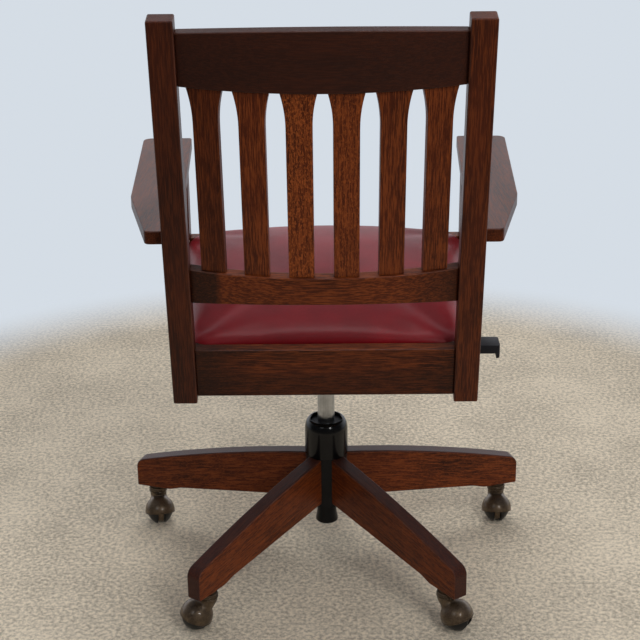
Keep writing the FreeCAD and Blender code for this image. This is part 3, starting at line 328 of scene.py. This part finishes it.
for legName, legTurn in legTurns.items():
    along = (math.cos(legTurn), math.sin(legTurn), legLook["slope"])
    side = (-math.sin(legTurn), math.cos(legTurn), 0)
    boards[f"leg_{legName}"] = (along, side, legLook["brown"], legLook["lines"], legLook["fleck"])
# darker towards a board's ends, from 0 at the chair's right post to 1 at its left one; on the lower back rail
# this is painted shade beside the posts
boardEnds = {
    "lower_back_rail": ((0.03, 0.75), (0.10, 0.45), (0.26, 0.0), (0.895, 0.0), (0.92, 0.9)),
    "rear_seat_rail": ((0.02, 0.3), (0.10, 0.0), (0.78, 0.0), (0.96, 0.75)),
}
endLook = {
    "postGap": 0.374, "waver": 0.01, "footWaver": 0.02, "footScale": 10, "footBase": 4,
    "footStops": ((0.28, 0.5), (0.50, 0.0)),
}
# one value for each slat, from the chair's left to its right
slatLook = {
    "pitch": 0.0623, "fleck": (0.06, 0.10, 0.90, 0.52, 0.08, 0.14), "shade": (0.40, 0.0, 0.0, 0.0, 0.05, 0.12),
}
# share of a painted grey sheen for each board: the oak's haze tone stands in for the grey the crest and back
# posts mirror
greySheenShares = {"crest_rail": 0.60, "left_back_post": 0.30, "right_back_post": 0.15}


def endMask(finish, name, stain, look):
    alongX = finish.part(finish.place, "X") + look["waver"] * stain
    ends = finish.ramp(alongX / look["postGap"] + 0.5, *boardEnds[name])
    if name == "rear_seat_rail":
        # this board is darker along its foot as well
        height = finish.part(finish.place, "Z") + look["footWaver"] * stain
        foot = finish.ramp(height * look["footScale"] - look["footBase"], *look["footStops"])
        ends = 1 - (1 - ends) * (1 - foot)
    return ends


def slatStripes(finish, values):
    count = len(values)
    sideways = finish.part(finish.place, "X") / (count * slatLook["pitch"]) + 0.5
    stops = [(index / count, value) for index, value in enumerate(reversed(values))]
    return finish.ramp(sideways, *stops, interpolation="CONSTANT")


def oak(name, seed, grain, edgeAxis, brown, lines, fleck):
    look = oakLook
    finish = Finish(f"oak.{name}")
    turn = Vector(grain).rotation_difference(Vector(up)).to_euler()
    board = finish.add("ShaderNodeMapping", None, {
        "Vector": finish.place, "Rotation": tuple(turn),
        "Location": tuple(seed * shift for shift in look["seedShift"])})
    stain, bands, streaks, pores, rays = (finish.noise(board, **field) for field in oakGrain.values())

    def banded(field, steps):
        share = look["bandShare"]
        return finish.rise(field * (1 - share) + bands * share, steps)

    brownSteps = [step - look["brownShift"] * brown for step in look["brownSteps"]]
    colour = finish.mix(banded(stain, brownSteps), look["dark"], look["brown"])
    colour = finish.mix(banded(streaks, look["streakSteps"]) * lines, colour, look["warm"])
    # painted shade beside the posts on the lower back rail; the rear seat rail is darker at its ends and foot
    if name in boardEnds:
        colour = finish.mix(endMask(finish, name, stain, endLook), colour, look["black"])
    if name == "back_slats":
        colour = finish.mix(slatStripes(finish, slatLook["shade"]), colour, look["dark"])
        fleck = slatStripes(finish, slatLook["fleck"])
    colour = finish.mix(banded(rays, look["raySteps"]) * fleck, colour, look["fleck"])
    poreMask = finish.rise(pores, look["poreSteps"])
    colour = finish.mix((1 - poreMask) * look["poreDepth"], colour, look["dark"])
    facing = finish.add("ShaderNodeTexCoord", output="Normal")
    lean = finish.add("ShaderNodeVectorMath", {"operation": "DOT_PRODUCT"},
                      {0: facing, 1: tuple(Vector(edgeAxis).normalized())}, "Value")
    square = lean * lean
    if name.startswith("leg_"):
        # painted shade: the legs' faces other than their sides are darker, as the seat keeps the light off them
        colour = finish.mix(finish.ramp(square, *look["topShadeStops"]), colour, look["top"])
    # a painted grey sheen over the crest rail and back posts
    if name in greySheenShares:
        colour = finish.mix(greySheenShares[name], colour, look["haze"])
    edge = finish.rise(4 * square * (1 - square), look["edgeSteps"]) * finish.ramp(stain, *look["edgeStops"])
    colour = finish.mix(edge * look["edgeDepth"], colour, look["worn"])
    rough = look["roughness"] + look["streakRough"] * streaks + look["edgeRough"] * edge
    height = poreMask * look["poreRelief"] + streaks * look["streakRelief"]
    return finish.surface({
        "Base Color": colour, "Roughness": rough - look["stainSmooth"] * stain,
        "Normal": finish.bump(height, look["relief"], look["reliefDepth"]), "Specular IOR Level": look["shine"]})


for boardSeed, (boardName, boardLook) in enumerate(boards.items(), start=1):
    dress([boardName], oak(boardName, boardSeed, *boardLook))
print("oak boards dressed")


# Metals and mouldings

metalLook = {
    "clouds": {"factors": (60, 60, 60), "detail": 4, "roughness": 0.6}, "cloudShare": 0.6,
    "maskSteps": (0.36, 0.64), "leastRough": 0.8, "roughSpread": 0.45, "relief": 0.12, "reliefDepth": 0.0002,
    "coatRough": 0.14,
}
mouldingLook = {
    "haze": {"factors": (35, 35, 35), "detail": 3, "roughness": 0.6}, "hazeSteps": (0.4, 0.7),
    "paler": 1.5, "lift": 0.002, "roughSpread": 0.10, "reliefDepth": 0.0002,
}
plywoodLook = {
    "grain": {"factors": (160, 5, 160), "detail": 4, "roughness": 0.6}, "plies": 90, "plyWaver": 0.6,
    "plyDetail": 1, "plyShare": 0.35, "dark": (0.34, 0.22, 0.12), "pale": (0.52, 0.38, 0.23),
    "glue": (0.22, 0.13, 0.07), "roughness": 0.7, "relief": 0.2, "reliefDepth": 0.0003,
}


def satinMetal(name, tone, shade, roughness, grain=240, stretch=1, metallic=1.0, patch=0.5, coat=0.0):
    # grain is the fineness of the brushing, and stretch draws it out upwards
    look = metalLook
    finish = Finish(name)
    cloud = finish.noise(finish.place, **look["clouds"])
    fine = finish.noise(finish.place, (grain, grain, grain / stretch), detail=3, roughness=0.6)
    share = look["cloudShare"]
    mask = finish.rise(cloud * share + fine * (1 - share), look["maskSteps"])
    rough = roughness * look["leastRough"] + roughness * look["roughSpread"] * fine
    return finish.surface({
        "Base Color": finish.mix(mask * patch + (1 - patch) / 2, shade, tone), "Roughness": rough,
        "Metallic": metallic, "Normal": finish.bump(fine, look["relief"], look["reliefDepth"]),
        "Coat Weight": coat, "Coat Roughness": look["coatRough"]})


def moulding(name, tone, roughness, grain, relief, shine=0.22):
    look = mouldingLook
    finish = Finish(name)
    cells = finish.add("ShaderNodeTexVoronoi", None, {"Vector": finish.place, "Scale": grain})
    haze = finish.noise(finish.place, **look["haze"])
    pale = tuple(value * look["paler"] + look["lift"] for value in tone)
    return finish.surface({
        "Base Color": finish.mix(finish.rise(haze, look["hazeSteps"]), tone, pale),
        "Roughness": roughness + look["roughSpread"] * haze,
        "Normal": finish.bump(cells, relief, look["reliefDepth"]), "Specular IOR Level": shine})


def plywood(look):
    finish = Finish("plywood")
    plies = finish.add("ShaderNodeTexWave", {"bands_direction": "Z"}, {
        "Vector": finish.place, "Scale": look["plies"], "Distortion": look["plyWaver"],
        "Detail": look["plyDetail"]})
    grain = finish.noise(finish.place, **look["grain"])
    face = finish.mix(grain, look["dark"], look["pale"])
    return finish.surface({
        "Base Color": finish.mix(plies * look["plyShare"], face, look["glue"]), "Roughness": look["roughness"],
        "Normal": finish.bump(grain, look["relief"], look["reliefDepth"])})


glossBlack = moulding("glossBlack", (0.003, 0.003, 0.0033), roughness=0.12, grain=300, relief=0.02, shine=0.3)
tubeBlack = moulding("tubeBlack", (0.004, 0.004, 0.0044), roughness=0.28, grain=600, relief=0.06)
softBlack = moulding("softBlack", (0.011, 0.011, 0.014), roughness=0.42, grain=1400, relief=0.35)
powderBlack = moulding("powderBlack", (0.010, 0.010, 0.011), roughness=0.46, grain=1000, relief=0.30)
wheelBlack = moulding("wheelBlack", (0.005, 0.005, 0.0055), roughness=0.26, grain=900, relief=0.10, shine=0.3)
zincPlate = satinMetal("zincPlate", (0.62, 0.62, 0.60), (0.42, 0.42, 0.41), roughness=0.34)
leverSteel = satinMetal("leverSteel", (0.16, 0.16, 0.165), (0.08, 0.08, 0.082), roughness=0.36)
brushedSteel = satinMetal("brushedSteel", (0.61, 0.625, 0.635), (0.33, 0.342, 0.35), roughness=0.30,
                          grain=900, stretch=300, patch=0.8)
bronze = satinMetal("bronze", (0.20, 0.140, 0.085), (0.062, 0.043, 0.029), roughness=0.50,
                    grain=420, metallic=0.9, patch=0.8, coat=0.5)
brassHead = satinMetal("brassHead", (0.40, 0.32, 0.21), (0.22, 0.17, 0.11), roughness=0.30)
webGrey = satinMetal("webGrey", (0.34, 0.33, 0.31), (0.20, 0.19, 0.18), roughness=0.45)

dress(["seat_board"], plywood(plywoodLook))
dress(["tilt_plate", "tilt_housing", "tilt_pin", "tension_nut"], powderBlack)
dress(["plate_screws", "leg_studs_and_nuts", "rod_bearing_and_clip", "caster_stems"], zincPlate)
dress(["tension_knob", "guide_bush", "release_button"], softBlack)
dress(["release_lever"], leverSteel)
dress(["gas_cylinder", "piston_rod"], brushedSteel)
dress(["hub_core"], tubeBlack)
dress(["caster_sockets"], bronze)
dress([f"caster_{name}_axle" for name in legNames], brassHead)
dress([f"caster_{name}_wheel_{side}" for name in legNames for side in "ab"], wheelBlack)
print("metals and mouldings dressed")


# Shared mesh helpers

weldGap = 1e-6
copyWeldGap = 1e-5


def closedMesh(name, shape, material, smoothAngle=35):
    bmesh.ops.remove_doubles(shape, verts=shape.verts, dist=weldGap)
    bmesh.ops.recalc_face_normals(shape, faces=shape.faces)
    mesh = bpy.data.meshes.new(name)
    shape.to_mesh(mesh)
    shape.free()
    mesh.materials.append(material)
    smoothFaces(mesh, smoothAngle)
    piece = bpy.data.objects.new(name, mesh)
    scene.collection.objects.link(piece)
    return piece


def smoothFaces(mesh, angle=None):
    # smooth shading, kept sharp where the faces meet at more than the angle
    for face in mesh.polygons:
        face.use_smooth = True
    if angle is not None:
        mesh.set_sharp_from_angle(angle=math.radians(angle))


def ringLoop(shape, centre, sideAxis, otherAxis, radius, count):
    turns = [2 * math.pi * k / count for k in range(count)]
    return [shape.verts.new(
        centre + sideAxis * (radius * math.cos(turn)) + otherAxis * (radius * math.sin(turn))) for turn in turns]


def bridge(shape, first, second):
    count = len(first)
    return [shape.faces.new((first[k], first[(k + 1) % count], second[(k + 1) % count], second[k]))
            for k in range(count)]


def turnedPiece(name, profile, material, count=96, smoothAngle=35):
    # a closed profile of (radius, height) turned about the upright axis
    shape = bmesh.new()
    rings = [ringLoop(shape, Vector((0, 0, height)), Vector((1, 0, 0)), Vector((0, 1, 0)), radius, count)
             for radius, height in profile]
    for first, second in zip(rings, rings[1:] + rings[:1]):
        bridge(shape, first, second)
    return closedMesh(name, shape, material, smoothAngle)


def plainCopy(name, node):
    mesh = nodes[node].data.copy()
    shape = bmesh.new()
    shape.from_mesh(mesh)
    bmesh.ops.remove_doubles(shape, verts=shape.verts, dist=copyWeldGap)
    shape.to_mesh(mesh)
    shape.free()
    mesh.materials.clear()
    piece = bpy.data.objects.new(name, mesh)
    scene.collection.objects.link(piece)
    return piece


def bake(piece):
    # the modifiers' result becomes the piece's own mesh
    scene.view_layers[0].update()
    graph = bpy.context.evaluated_depsgraph_get()
    mesh = bpy.data.meshes.new_from_object(piece.evaluated_get(graph), depsgraph=graph)
    piece.modifiers.clear()
    piece.data = mesh


def openGroup(name, inputs):
    # a Geometry Nodes group with these inputs, its tree, its input wires and the inputs' identifiers
    group = bpy.data.node_groups.new(name, "GeometryNodeTree")
    group.interface.new_socket("Geometry", in_out="INPUT", socket_type="NodeSocketGeometry")
    identifiers = {}
    for label, kind in inputs.items():
        socket = group.interface.new_socket(label, in_out="INPUT", socket_type=f"NodeSocket{kind}")
        identifiers[label] = socket.identifier
    group.interface.new_socket("Geometry", in_out="OUTPUT", socket_type="NodeSocketGeometry")
    tree = Tree(group)
    source = group.nodes.new("NodeGroupInput")
    return tree, {socket.name: Wire(tree, socket) for socket in source.outputs}, identifiers


def closeGroup(tree, geometry, material):
    solid = tree.add("GeometryNodeRealizeInstances", None, {"Geometry": geometry})
    painted = tree.add("GeometryNodeSetMaterial", None, {"Geometry": solid, "Material": material})
    smooth = tree.add("GeometryNodeSetShadeSmooth", None, {"Geometry": painted})
    tree.add("NodeGroupOutput", None, {0: smooth})


def applyGroup(piece, tree, identifiers, values):
    modifier = piece.modifiers.new(tree.tree.name, "NODES")
    modifier.node_group = tree.tree
    for label, value in values.items():
        modifier[identifiers[label]] = value
    bake(piece)


# Bell over the hub

bellLook = {
    "radius": 0.0355, "wall": 0.0025, "low": 0.1742, "high": 0.236, "shoulder": 0.020, "hole": 0.026,
    "lip": 0.0012, "rimInset": 0.0006, "rimRise": 0.0008, "outerSteps": 14, "innerSteps": 10, "segments": 128,
}


def bell(look):
    radius, wall, low, high, shoulder, hole, lip = (
        look[key] for key in ("radius", "wall", "low", "high", "shoulder", "hole", "lip"))
    inset = radius - hole
    outer = [(radius - look["rimInset"], low), (radius, low + look["rimRise"])]
    for k in range(look["outerSteps"] + 1):
        turn = math.pi / 2 * k / look["outerSteps"]
        outer.append((hole + lip + (inset - lip) * math.cos(turn),
                      high - shoulder + shoulder * math.sin(turn)))
    outer.append((hole, high - lip))
    inner = []
    for k in range(look["innerSteps"] + 1):
        turn = math.pi / 2 * (1 - k / look["innerSteps"])
        inner.append((hole + (inset - wall) * math.cos(turn),
                      high - wall - (shoulder - wall) * (1 - math.sin(turn))))
    inner.append((radius - wall, low))
    piece = turnedPiece("bellCover", outer + inner, glossBlack, look["segments"])
    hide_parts("hub_bell")
    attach(piece, "base")


bell(bellLook)


# Column tube, its foot flaring out

tubeLook = {
    "radius": 0.025, "wall": 0.002, "top": 0.228, "shoulder": 0.082, "neck": 0.0162, "flare": 0.0185,
    "foot": 0.046, "flareLow": 0.005, "flareHigh": 0.018, "ease": 0.0015, "floor": 0.004, "bore": 0.00505,
    "smoothAngle": 25,
}


def columnTube(look):
    radius, wall, top, shoulder, neck, flare, foot, ease, bore = (
        look[key] for key in ("radius", "wall", "top", "shoulder", "neck", "flare", "foot", "ease", "bore"))
    floor = foot + look["floor"]
    outside = [
        (bore, foot), (flare - ease, foot), (flare, foot + ease), (flare, foot + look["flareLow"]),
        (neck, foot + look["flareHigh"]), (neck, shoulder - wall), (radius, shoulder + wall), (radius, top)]
    inside = [
        (radius - wall, top), (radius - wall, shoulder + 2 * wall), (neck - wall, shoulder),
        (neck - wall, floor), (bore, floor)]
    piece = turnedPiece("columnTube", outside + inside, tubeBlack, smoothAngle=look["smoothAngle"])
    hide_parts("column_tube")
    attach(piece, "base")


columnTube(tubeLook)


# Caster hoods: a ball cap that flares up into a ringed collar round the stem

hoodLook = {
    "segments": 64, "centreShift": 0.019, "centreHeight": 0.0225, "smoothAngle": 40,
    "ball": 0.0256, "wall": 0.0013, "rimDrop": 0.005, "rimTilt": 20, "capSteps": 10, "capEnd": 0.9995,
    "lip": 0.0258, "lipHeight": 0.0016, "lipStep": 0.0006, "edge": 0.0004,
    "blendStart": 0.0188, "blendTilt": 33, "blendSteps": 12, "flareSteps": 12,
    "collar": 0.0146, "collarLow": 0.0490, "neckWaist": 0.0141, "top": 0.0608,
    "collarRise": 0.0006, "collarInset": 0.0005, "topEase": 0.0008,
    "beads": 2, "beadRadius": 0.0010, "beadPitch": 0.0040, "beadLow": 0.0042, "beadPoints": 10,
    "webHalf": 0.0046, "webRadius": 0.020, "webEdge": 0.0005, "webSegments": 48,
}
stemRadius = 0.312
casterTurns = dict(zip(legNames, (-60, 101, 8, 148, 90)))
depthAxis = Vector((0, 1, 0))


def leaned(angle):
    # the axis of a ring that leans by the angle, and the direction of its side
    return Vector((-math.sin(angle), 0, math.cos(angle))), Vector((math.cos(angle), 0, math.sin(angle)))


def hoodRings(look, shape):
    count, ball, lip, edge = (look[key] for key in ("segments", "ball", "lip", "edge"))
    ballCentre = Vector((look["centreShift"], 0, look["centreHeight"]))
    tilt = math.radians(look["rimTilt"])
    axis, side = leaned(tilt)
    rim = -look["rimDrop"] * math.cos(tilt)
    lipTop = rim + look["lipHeight"]
    inner = ball - look["wall"]
    # from the inside of the cap out over the lip
    profile = []
    for k in range(look["capSteps"], 0, -1):
        level = rim + (inner - rim) * math.sin(math.pi / 2 * k / look["capSteps"]) * look["capEnd"]
        profile.append((level, math.sqrt(inner ** 2 - level ** 2)))
    profile += [(rim, math.sqrt(inner ** 2 - rim ** 2)), (rim, lip - edge), (rim + edge, lip),
                (lipTop - edge, lip), (lipTop, lip - look["lipStep"])]
    rings = [ringLoop(shape, ballCentre + axis * level, side, depthAxis, radius, count)
             for level, radius in profile]
    # up the ball, the rings leaning more and more towards the stem
    start, bottom = look["blendStart"], lipTop + edge
    for k in range(look["blendSteps"] + 1):
        share = k / look["blendSteps"]
        axis, side = leaned(tilt + (math.radians(look["blendTilt"]) - tilt) * share)
        level = bottom + (start - bottom) * share
        radius = math.sqrt(ball ** 2 - level ** 2)
        rings.append(ringLoop(shape, ballCentre + axis * level, side, depthAxis, radius, count))
    return rings + flareRings(look, shape, ballCentre + axis * start, axis, side) + collarRings(look, shape)


def flareRings(look, shape, first, axis, side):
    # the centre line bends upright while the radius eases into the waist
    start = look["blendStart"]
    startRadius = math.sqrt(look["ball"] ** 2 - start ** 2)
    last = Vector((0, 0, look["collarLow"]))
    span = (last - first).length
    slope = -start / startRadius * span
    rings = []
    for k in range(1, look["flareSteps"] + 1):
        t = k / look["flareSteps"]
        centre = ((1 - t) ** 3 * first + 3 * (1 - t) ** 2 * t * (first + axis * span / 3)
                  + 3 * (1 - t) * t ** 2 * (last - Vector((0, 0, span / 3))) + t ** 3 * last)
        ease = t * t * (3 - 2 * t)
        radius = (1 - ease) * startRadius + (t ** 3 - 2 * t ** 2 + t) * slope + ease * look["neckWaist"]
        ringSide = side.lerp(Vector((1, 0, 0)), ease).normalized()
        rings.append(ringLoop(shape, centre, ringSide, depthAxis, radius, look["segments"]))
    return rings


def collarRings(look, shape):
    collar, low, rise, top, ease = (
        look[key] for key in ("collar", "collarLow", "collarRise", "top", "topEase"))
    profile = [(look["neckWaist"], low + 2 * rise), (collar - look["collarInset"], low + 3 * rise),
               (collar, low + 4 * rise), (collar, top - ease), (collar - ease, top)]
    return [ringLoop(shape, Vector((0, 0, height)), Vector((1, 0, 0)), depthAxis, radius, look["segments"])
            for radius, height in profile]


def beadGroup(look):
    tree, given, identifiers = openGroup("collarBeads", {
        "Count": "Int", "Pitch": "Float", "Collar radius": "Float", "Bead radius": "Float", "Place": "Vector",
        "Finish": "Material"})
    path = tree.add("GeometryNodeCurvePrimitiveCircle", None, {
        "Resolution": look["segments"], "Radius": given["Collar radius"]})
    profile = tree.add("GeometryNodeCurvePrimitiveCircle", None, {
        "Resolution": look["beadPoints"], "Radius": given["Bead radius"]})
    bead = tree.add("GeometryNodeCurveToMesh", None, {"Curve": path, "Profile Curve": profile})
    step = tree.add("ShaderNodeCombineXYZ", None, {"Z": given["Pitch"]})
    row = tree.add("GeometryNodeMeshLine", None, {
        "Count": given["Count"], "Start Location": given["Place"], "Offset": step})
    beads = tree.add("GeometryNodeInstanceOnPoints", None, {"Points": row, "Instance": bead})
    solid = tree.add("GeometryNodeRealizeInstances", None, {"Geometry": beads})
    joined = tree.tree.nodes.new("GeometryNodeJoinGeometry")
    for part in (given["Geometry"], solid):
        tree.tree.links.new(part.socket, joined.inputs[0])
    closeGroup(tree, Wire(tree, joined.outputs[0]), given["Finish"])
    return tree, identifiers


def addWeb(piece, look):
    # the plate between the two wheels, which carries the axle
    shape = bmesh.new()
    shape.from_mesh(piece.data)
    centre = Vector((look["centreShift"], 0, look["centreHeight"]))
    half, full, edge = look["webHalf"], look["webRadius"], look["webEdge"]
    profile = [(-half, full - edge), (edge - half, full), (half - edge, full), (half, full - edge)]
    rings = [ringLoop(shape, centre + depthAxis * offset, Vector((1, 0, 0)), Vector((0, 0, 1)), radius,
                      look["webSegments"]) for offset, radius in profile]
    faces = [face for first, second in zip(rings, rings[1:]) for face in bridge(shape, first, second)]
    faces += [shape.faces.new(reversed(rings[0])), shape.faces.new(rings[-1])]
    bmesh.ops.recalc_face_normals(shape, faces=faces)
    for face in faces:
        face.material_index = 1
        face.smooth = False
    shape.to_mesh(piece.data)
    shape.free()
    piece.data.materials.append(webGrey)


def casterFrame(name):
    legTurn = legTurns[name]
    stem = Vector((stemRadius * math.cos(legTurn), stemRadius * math.sin(legTurn), 0))
    return Matrix.Translation(stem) @ Matrix.Rotation(math.radians(casterTurns[name]), 4, "Z")


def hoods(look):
    tree, identifiers = beadGroup(look)
    for name in legNames:
        shape = bmesh.new()
        rings = hoodRings(look, shape)
        for first, second in zip(rings, rings[1:]):
            bridge(shape, first, second)
        shape.faces.new(reversed(rings[0]))
        shape.faces.new(rings[-1])
        piece = closedMesh(f"casterHood_{name}", shape, bronze, look["smoothAngle"])
        applyGroup(piece, tree, identifiers, {
            "Count": look["beads"], "Pitch": look["beadPitch"], "Collar radius": look["collar"],
            "Bead radius": look["beadRadius"], "Place": (0, 0, look["collarLow"] + look["beadLow"]),
            "Finish": bronze})
        addWeb(piece, look)
        piece.data.transform(casterFrame(name))
        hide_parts(f"caster_{name}_hood")
        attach(piece, f"caster_{name}")


hoods(hoodLook)
print("caster hoods made")


# Paddle of the release lever, a moulding with soft edges

paddleLook = {"ease": 0.0018, "segments": 3, "angle": 35}


def paddle(look):
    piece = plainCopy("leverPaddle", "lever_paddle")
    piece.data.materials.append(softBlack)
    ease = piece.modifiers.new("ease", "BEVEL")
    ease.width = look["ease"]
    ease.segments = look["segments"]
    ease.limit_method = "ANGLE"
    ease.angle_limit = math.radians(look["angle"])
    bake(piece)
    smoothFaces(piece.data, look["angle"])
    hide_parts("lever_paddle")
    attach(piece, "lever")


paddle(paddleLook)


# Coil spring of the tilt, wound in the room of its hidden tube

coilLook = {
    "place": (0, -0.095, 0.4134), "height": 0.0226, "turns": 3.5, "radius": 0.0099, "wire": 0.0016,
    "turnPoints": 28, "wirePoints": 12, "keep": 0.53,
}


def coilGroup(look):
    tree, given, identifiers = openGroup("coilSpring", {
        "Turns": "Float", "Coil radius": "Float", "Height": "Float", "Wire radius": "Float", "Place": "Vector",
        "Finish": "Material"})
    path = tree.add("GeometryNodeCurveSpiral", None, {
        "Resolution": look["turnPoints"], "Rotations": given["Turns"], "Start Radius": given["Coil radius"],
        "End Radius": given["Coil radius"], "Height": given["Height"]})
    profile = tree.add("GeometryNodeCurvePrimitiveCircle", None, {
        "Resolution": look["wirePoints"], "Radius": given["Wire radius"]})
    wire = tree.add("GeometryNodeCurveToMesh", None, {
        "Curve": path, "Profile Curve": profile, "Fill Caps": True})
    moved = tree.add("GeometryNodeTransform", None, {"Geometry": wire, "Translation": given["Place"]})
    closeGroup(tree, moved, given["Finish"])
    return tree, identifiers


def coil(look):
    piece = bpy.data.objects.new("tiltCoil", bpy.data.meshes.new("tiltCoil"))
    scene.collection.objects.link(piece)
    tree, identifiers = coilGroup(look)
    x, y, z = look["place"]
    applyGroup(piece, tree, identifiers, {
        "Turns": look["turns"], "Coil radius": look["radius"], "Height": look["height"] - 2 * look["wire"],
        "Wire radius": look["wire"], "Place": (x, y, z + look["wire"]), "Finish": zincPlate})
    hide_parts("tilt_spring")
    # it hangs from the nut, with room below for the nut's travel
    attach(piece, "nut")
    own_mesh(piece)


coil(coilLook)
print("tilt spring wound")


# Cushion: leather pulled over foam, swollen by a cloth pass

leatherLook = {
    "deep": (0.170, 0.0014, 0.0050), "bright": (0.275, 0.0030, 0.0090), "valley": (0.060, 0.001, 0.003),
    "cells": 620, "valleyStops": ((0.0, 1.0), (0.16, 0.0)), "valleyDepth": 0.4, "cellSteps": (0.0, 0.3),
    "fine": {"factors": (900, 900, 900), "detail": 3, "roughness": 0.6},
    "clouds": {"factors": (9, 9, 9), "detail": 3, "roughness": 0.55}, "cloudSteps": (0.34, 0.66),
    "creases": {"factors": (55, 55, 55), "detail": 5, "roughness": 0.62, "distortion": 1.2},
    "creaseShare": 0.65, "roughness": 0.40, "fineRough": 0.14, "cloudSmooth": 0.05, "relief": 0.28,
    "reliefDepth": 0.0009, "shine": 0.27,
}
# lengths are in the seat's own frame, which slopes back
cushionLook = {
    "slope": 2.5, "top": 0.4763, "front": -0.207, "rear": 0.2424, "frontHalf": 0.237, "rearHalf": 0.198,
    "shrinkSides": 0.990, "full": 0.012, "start": 0.95, "foot": 0.66, "voxel": 0.0055,
    "rollFront": 0.060, "rollRear": 0.100, "rollSide": 0.060, "cornerPower": 2.4,
    "pressure": 4.0, "frames": 20, "quality": 6, "mass": 0.25, "tension": 60, "shear": 30, "bending": 4,
    "pin": 0.006, "reach": 0.024, "ironing": 8,
}


def leather(look):
    finish = Finish("redLeather")
    cells = finish.add("ShaderNodeTexVoronoi", {"feature": "DISTANCE_TO_EDGE"}, {
        "Vector": finish.place, "Scale": look["cells"]})
    fine, cloud, creases = (finish.noise(finish.place, **look[key]) for key in ("fine", "clouds", "creases"))
    colour = finish.mix(finish.rise(cloud, look["cloudSteps"]), look["deep"], look["bright"])
    valley = finish.ramp(cells, *look["valleyStops"])
    colour = finish.mix(valley * look["valleyDepth"], colour, look["valley"])
    rough = look["roughness"] + look["fineRough"] * fine - look["cloudSmooth"] * cloud
    share = look["creaseShare"]
    height = finish.rise(cells, look["cellSteps"]) * (1 - share) + creases * share
    return finish.surface({
        "Base Color": colour, "Roughness": rough, "Specular IOR Level": look["shine"],
        "Normal": finish.bump(height, look["relief"], look["reliefDepth"])})


def swell(piece, look):
    rest = [v.co.copy() for v in piece.data.vertices]
    base = min(v.z for v in rest)
    pins = piece.vertex_groups.new(name="held")
    pins.add([index for index, v in enumerate(rest) if v.z < base + look["pin"]], 1.0, "REPLACE")
    cloth = piece.modifiers.new("swell", "CLOTH")
    settings = cloth.settings
    settings.quality = look["quality"]
    settings.mass = look["mass"]
    settings.tension_stiffness = look["tension"]
    settings.compression_stiffness = look["tension"]
    settings.shear_stiffness = look["shear"]
    settings.bending_stiffness = look["bending"]
    settings.use_pressure = True
    settings.uniform_pressure_force = look["pressure"]
    settings.effector_weights.gravity = 0
    settings.vertex_group_mass = "held"
    cloth.point_cache.frame_start = 1
    cloth.point_cache.frame_end = look["frames"]
    for frameNumber in range(1, look["frames"] + 1):
        scene.frame_set(frameNumber)
    graph = bpy.context.evaluated_depsgraph_get()
    moved = [v.co.copy() for v in piece.evaluated_get(graph).data.vertices]
    piece.modifiers.remove(cloth)
    scene.frame_set(1)
    for vertex, before, after in zip(piece.data.vertices, rest, moved):
        shift = after - before
        if shift.length > look["reach"]:
            shift = shift * (look["reach"] / shift.length)
        vertex.co = before + shift
    # a few smoothing passes iron out the creases of the corners
    shape = bmesh.new()
    shape.from_mesh(piece.data)
    loose = [v for v in shape.verts if v.co.z > base + look["pin"]]
    for _ in range(look["ironing"]):
        bmesh.ops.smooth_vert(
            shape, verts=loose, factor=0.5, use_axis_x=True, use_axis_y=True, use_axis_z=True)
    shape.to_mesh(piece.data)
    shape.free()


def rolled(point, low, look):
    # the height of the pad falls off in a wide roll towards each side
    share = (point.y - look["front"]) / (look["rear"] - look["front"])
    half = look["frontHalf"] + (look["rearHalf"] - look["frontHalf"]) * share
    gaps = [(point.y - look["front"], look["rollFront"]), (look["rear"] - point.y, look["rollRear"]),
            (half - point.x, look["rollSide"]), (half + point.x, look["rollSide"])]
    power = look["cornerPower"]
    edge = sum(max(0, 1 - max(0, gap) / width) ** power for gap, width in gaps) ** (1 / power)
    kept = look["foot"] + (1 - look["foot"]) * math.sqrt(max(0, 1 - min(1, edge) ** 2))
    return Vector((point.x, point.y, low + (point.z - low) * kept * look["start"]))


def cushion(look):
    piece = plainCopy("seatCushion", "seat_cushion")
    tilt = Matrix.Rotation(math.radians(-look["slope"]), 4, "X")
    seatFrame = Matrix.Translation((0, 0, look["top"])) @ tilt
    piece.data.transform(seatFrame.inverted())
    low = min(v.co.z for v in piece.data.vertices)
    middle = (look["front"] + look["rear"]) / 2
    # the foot keeps its size, and from there up it starts slightly smaller
    for vertex in piece.data.vertices:
        less = 1 - (1 - look["shrinkSides"]) * min(1, (vertex.co.z - low) / look["full"])
        vertex.co.x *= less
        vertex.co.y = middle + (vertex.co.y - middle) * less
    remesh = piece.modifiers.new("even", "REMESH")
    remesh.mode = "VOXEL"
    remesh.voxel_size = look["voxel"]
    bake(piece)
    for vertex in piece.data.vertices:
        vertex.co = rolled(vertex.co, low, look)
    swell(piece, look)
    print("cushion top", round(max(v.co.z for v in piece.data.vertices) - low, 4))
    # nothing of the pad dips below its foot
    for vertex in piece.data.vertices:
        vertex.co.z = max(vertex.co.z, low)
    piece.data.transform(seatFrame)
    smoothFaces(piece.data)
    piece.data.materials.clear()
    piece.data.materials.append(leather(leatherLook))
    smoothing = piece.modifiers.new("smooth", "SUBSURF")
    smoothing.levels = 1
    smoothing.render_levels = 1
    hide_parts("seat_cushion")
    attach(piece, "seat")
    print("cushion made:", len(piece.data.vertices), "vertices")


cushion(cushionLook)
